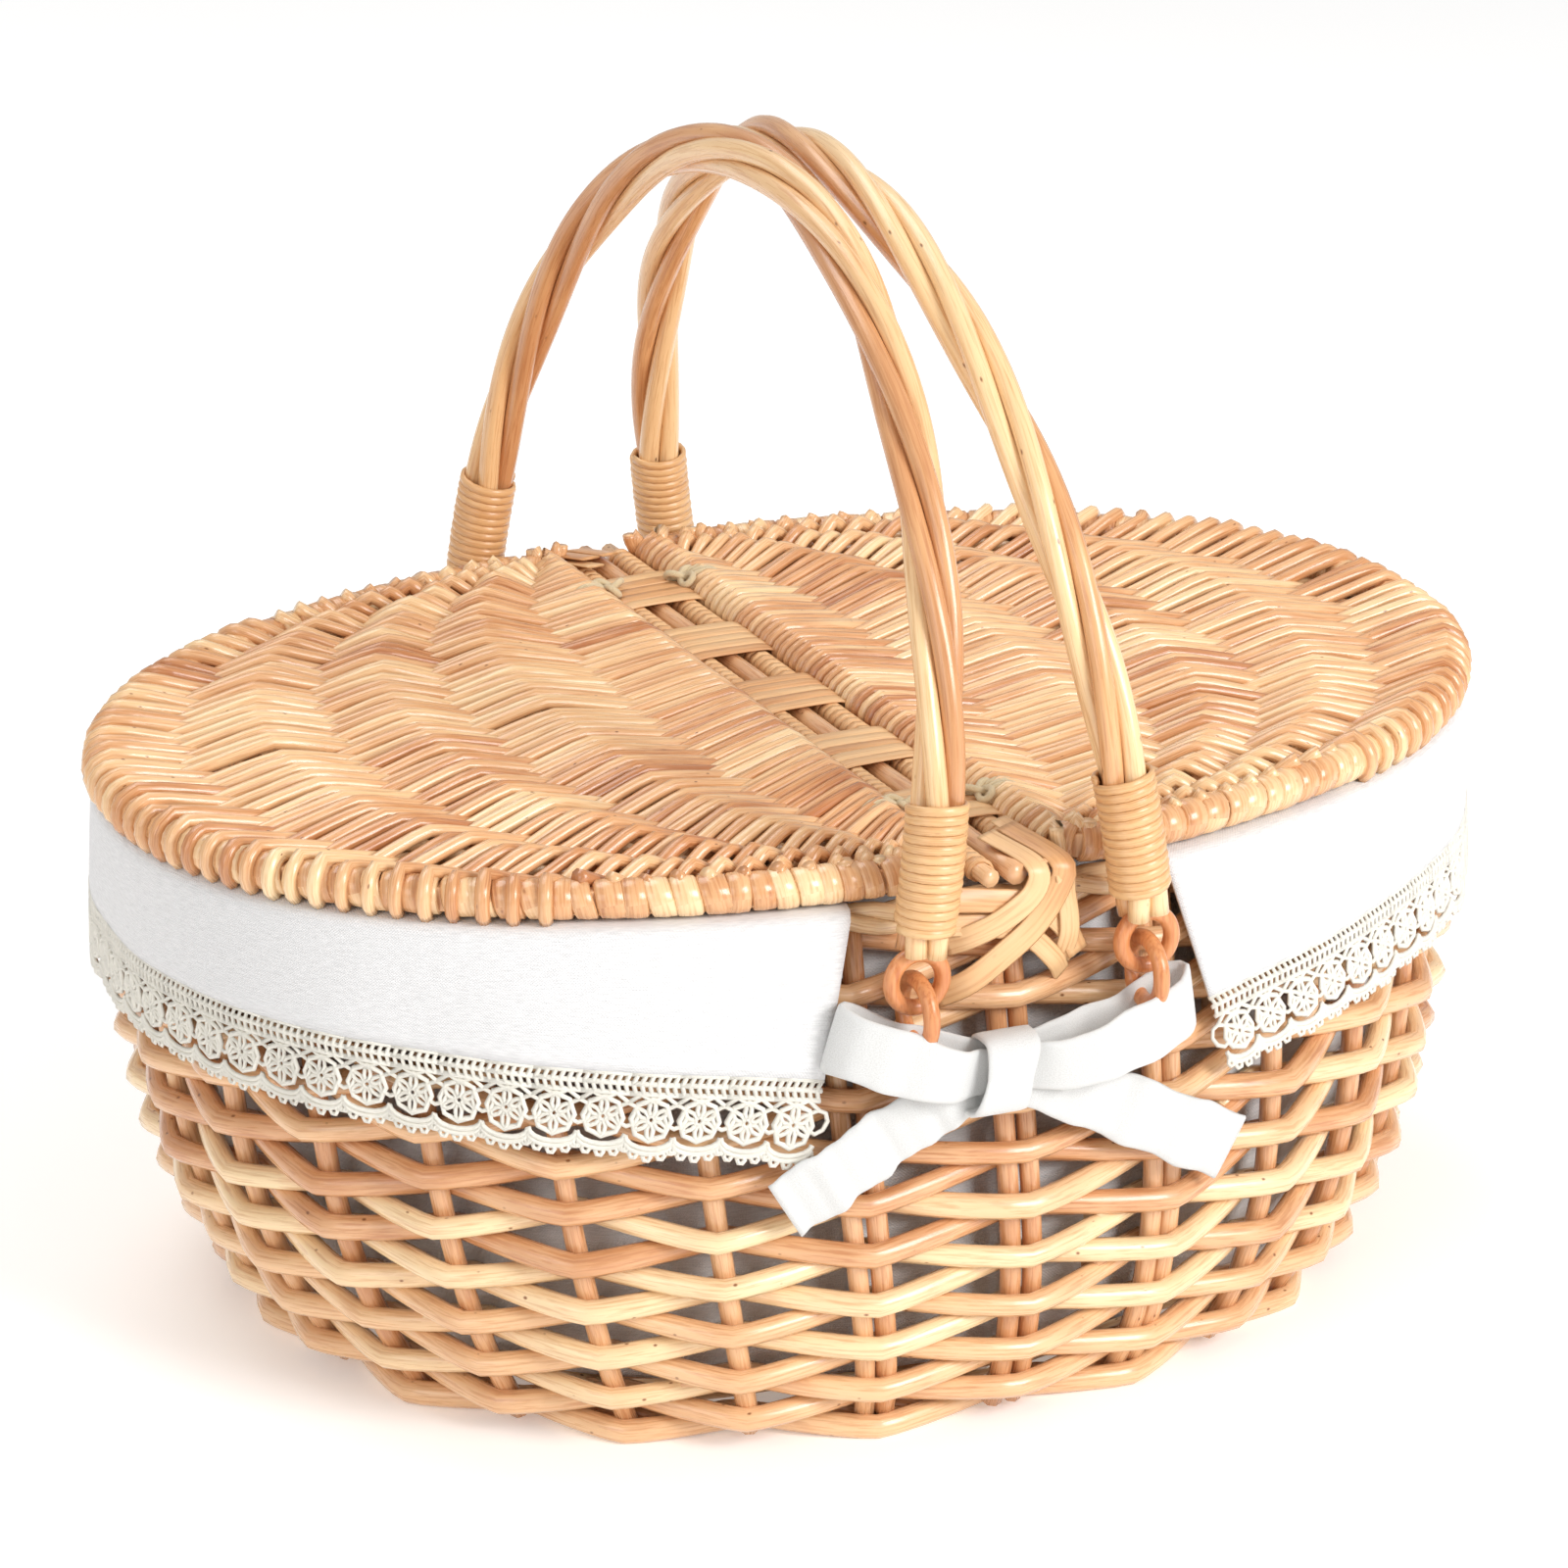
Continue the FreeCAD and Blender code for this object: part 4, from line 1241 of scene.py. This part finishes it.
class BASKET_OT_cloth(Step, bpy.types.Operator):
    """Sews the liner, the two valances and their lace"""
    bl_idname = "basket.cloth"
    bl_label = "Sew cloth"

    def build(self, settings):
        bag = liner()
        for side, hand in ((-1, "left"), (1, "right")):
            trim = lace(side, "lace_" + hand)
            piece, length, width = valance(side, "valance_" + hand)


class BASKET_OT_bows(Step, bpy.types.Operator):
    """Ties a bow of tape at the front and at the back"""
    bl_idname = "basket.bows"
    bl_label = "Tie bows"

    def build(self, settings):
        bow(1, "bow_front")
        bow(-1, "bow_back")


class BASKET_OT_fittings(Step, bpy.types.Operator):
    """Gives the rattan loops, the hoops and the base sticks their finish"""
    bl_idname = "basket.fittings"
    bl_label = "Finish fittings"

    def build(self, settings):
        for name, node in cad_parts.items():
            if node.hide_render:
                continue
            node.data.materials.clear()
            node.data.materials.append(finish("rattan" if "loop" in name else "core"))


class BASKET_OT_stage(Step, bpy.types.Operator):
    """Sets up the floor, the lights and the camera"""
    bl_idname = "basket.stage"
    bl_label = "Set stage"

    def build(self, settings):
        make_stage(settings)


STEPS = (BASKET_OT_body, BASKET_OT_lids, BASKET_OT_bridge, BASKET_OT_handles, BASKET_OT_cloth, BASKET_OT_bows,
         BASKET_OT_fittings, BASKET_OT_stage)


class BASKET_PT_panel(bpy.types.Panel):
    """Steps that make the basket"""
    bl_idname = "BASKET_PT_panel"
    bl_label = "Picnic basket"
    bl_space_type = "VIEW_3D"
    bl_region_type = "UI"
    bl_category = "Basket"

    def draw(self, context):
        settings = context.scene.basket
        for name in BasketSettings.__annotations__:
            self.layout.prop(settings, name)
        for step in STEPS:
            self.layout.operator(step.bl_idname)


CLASSES = (BasketSettings, *STEPS, BASKET_PT_panel)


def register():
    for cls in CLASSES:
        bpy.utils.register_class(cls)
    bpy.types.Scene.basket = PointerProperty(type=BasketSettings)


def unregister():
    del bpy.types.Scene.basket
    for cls in reversed(CLASSES):
        bpy.utils.unregister_class(cls)


def main():
    register()
    bpy.ops.basket.body()
    bpy.ops.basket.lids()
    bpy.ops.basket.bridge()
    bpy.ops.basket.handles()
    bpy.ops.basket.cloth()
    bpy.ops.basket.bows()
    bpy.ops.basket.fittings()
    bpy.ops.basket.stage()


if __name__ == "__main__":
    main()
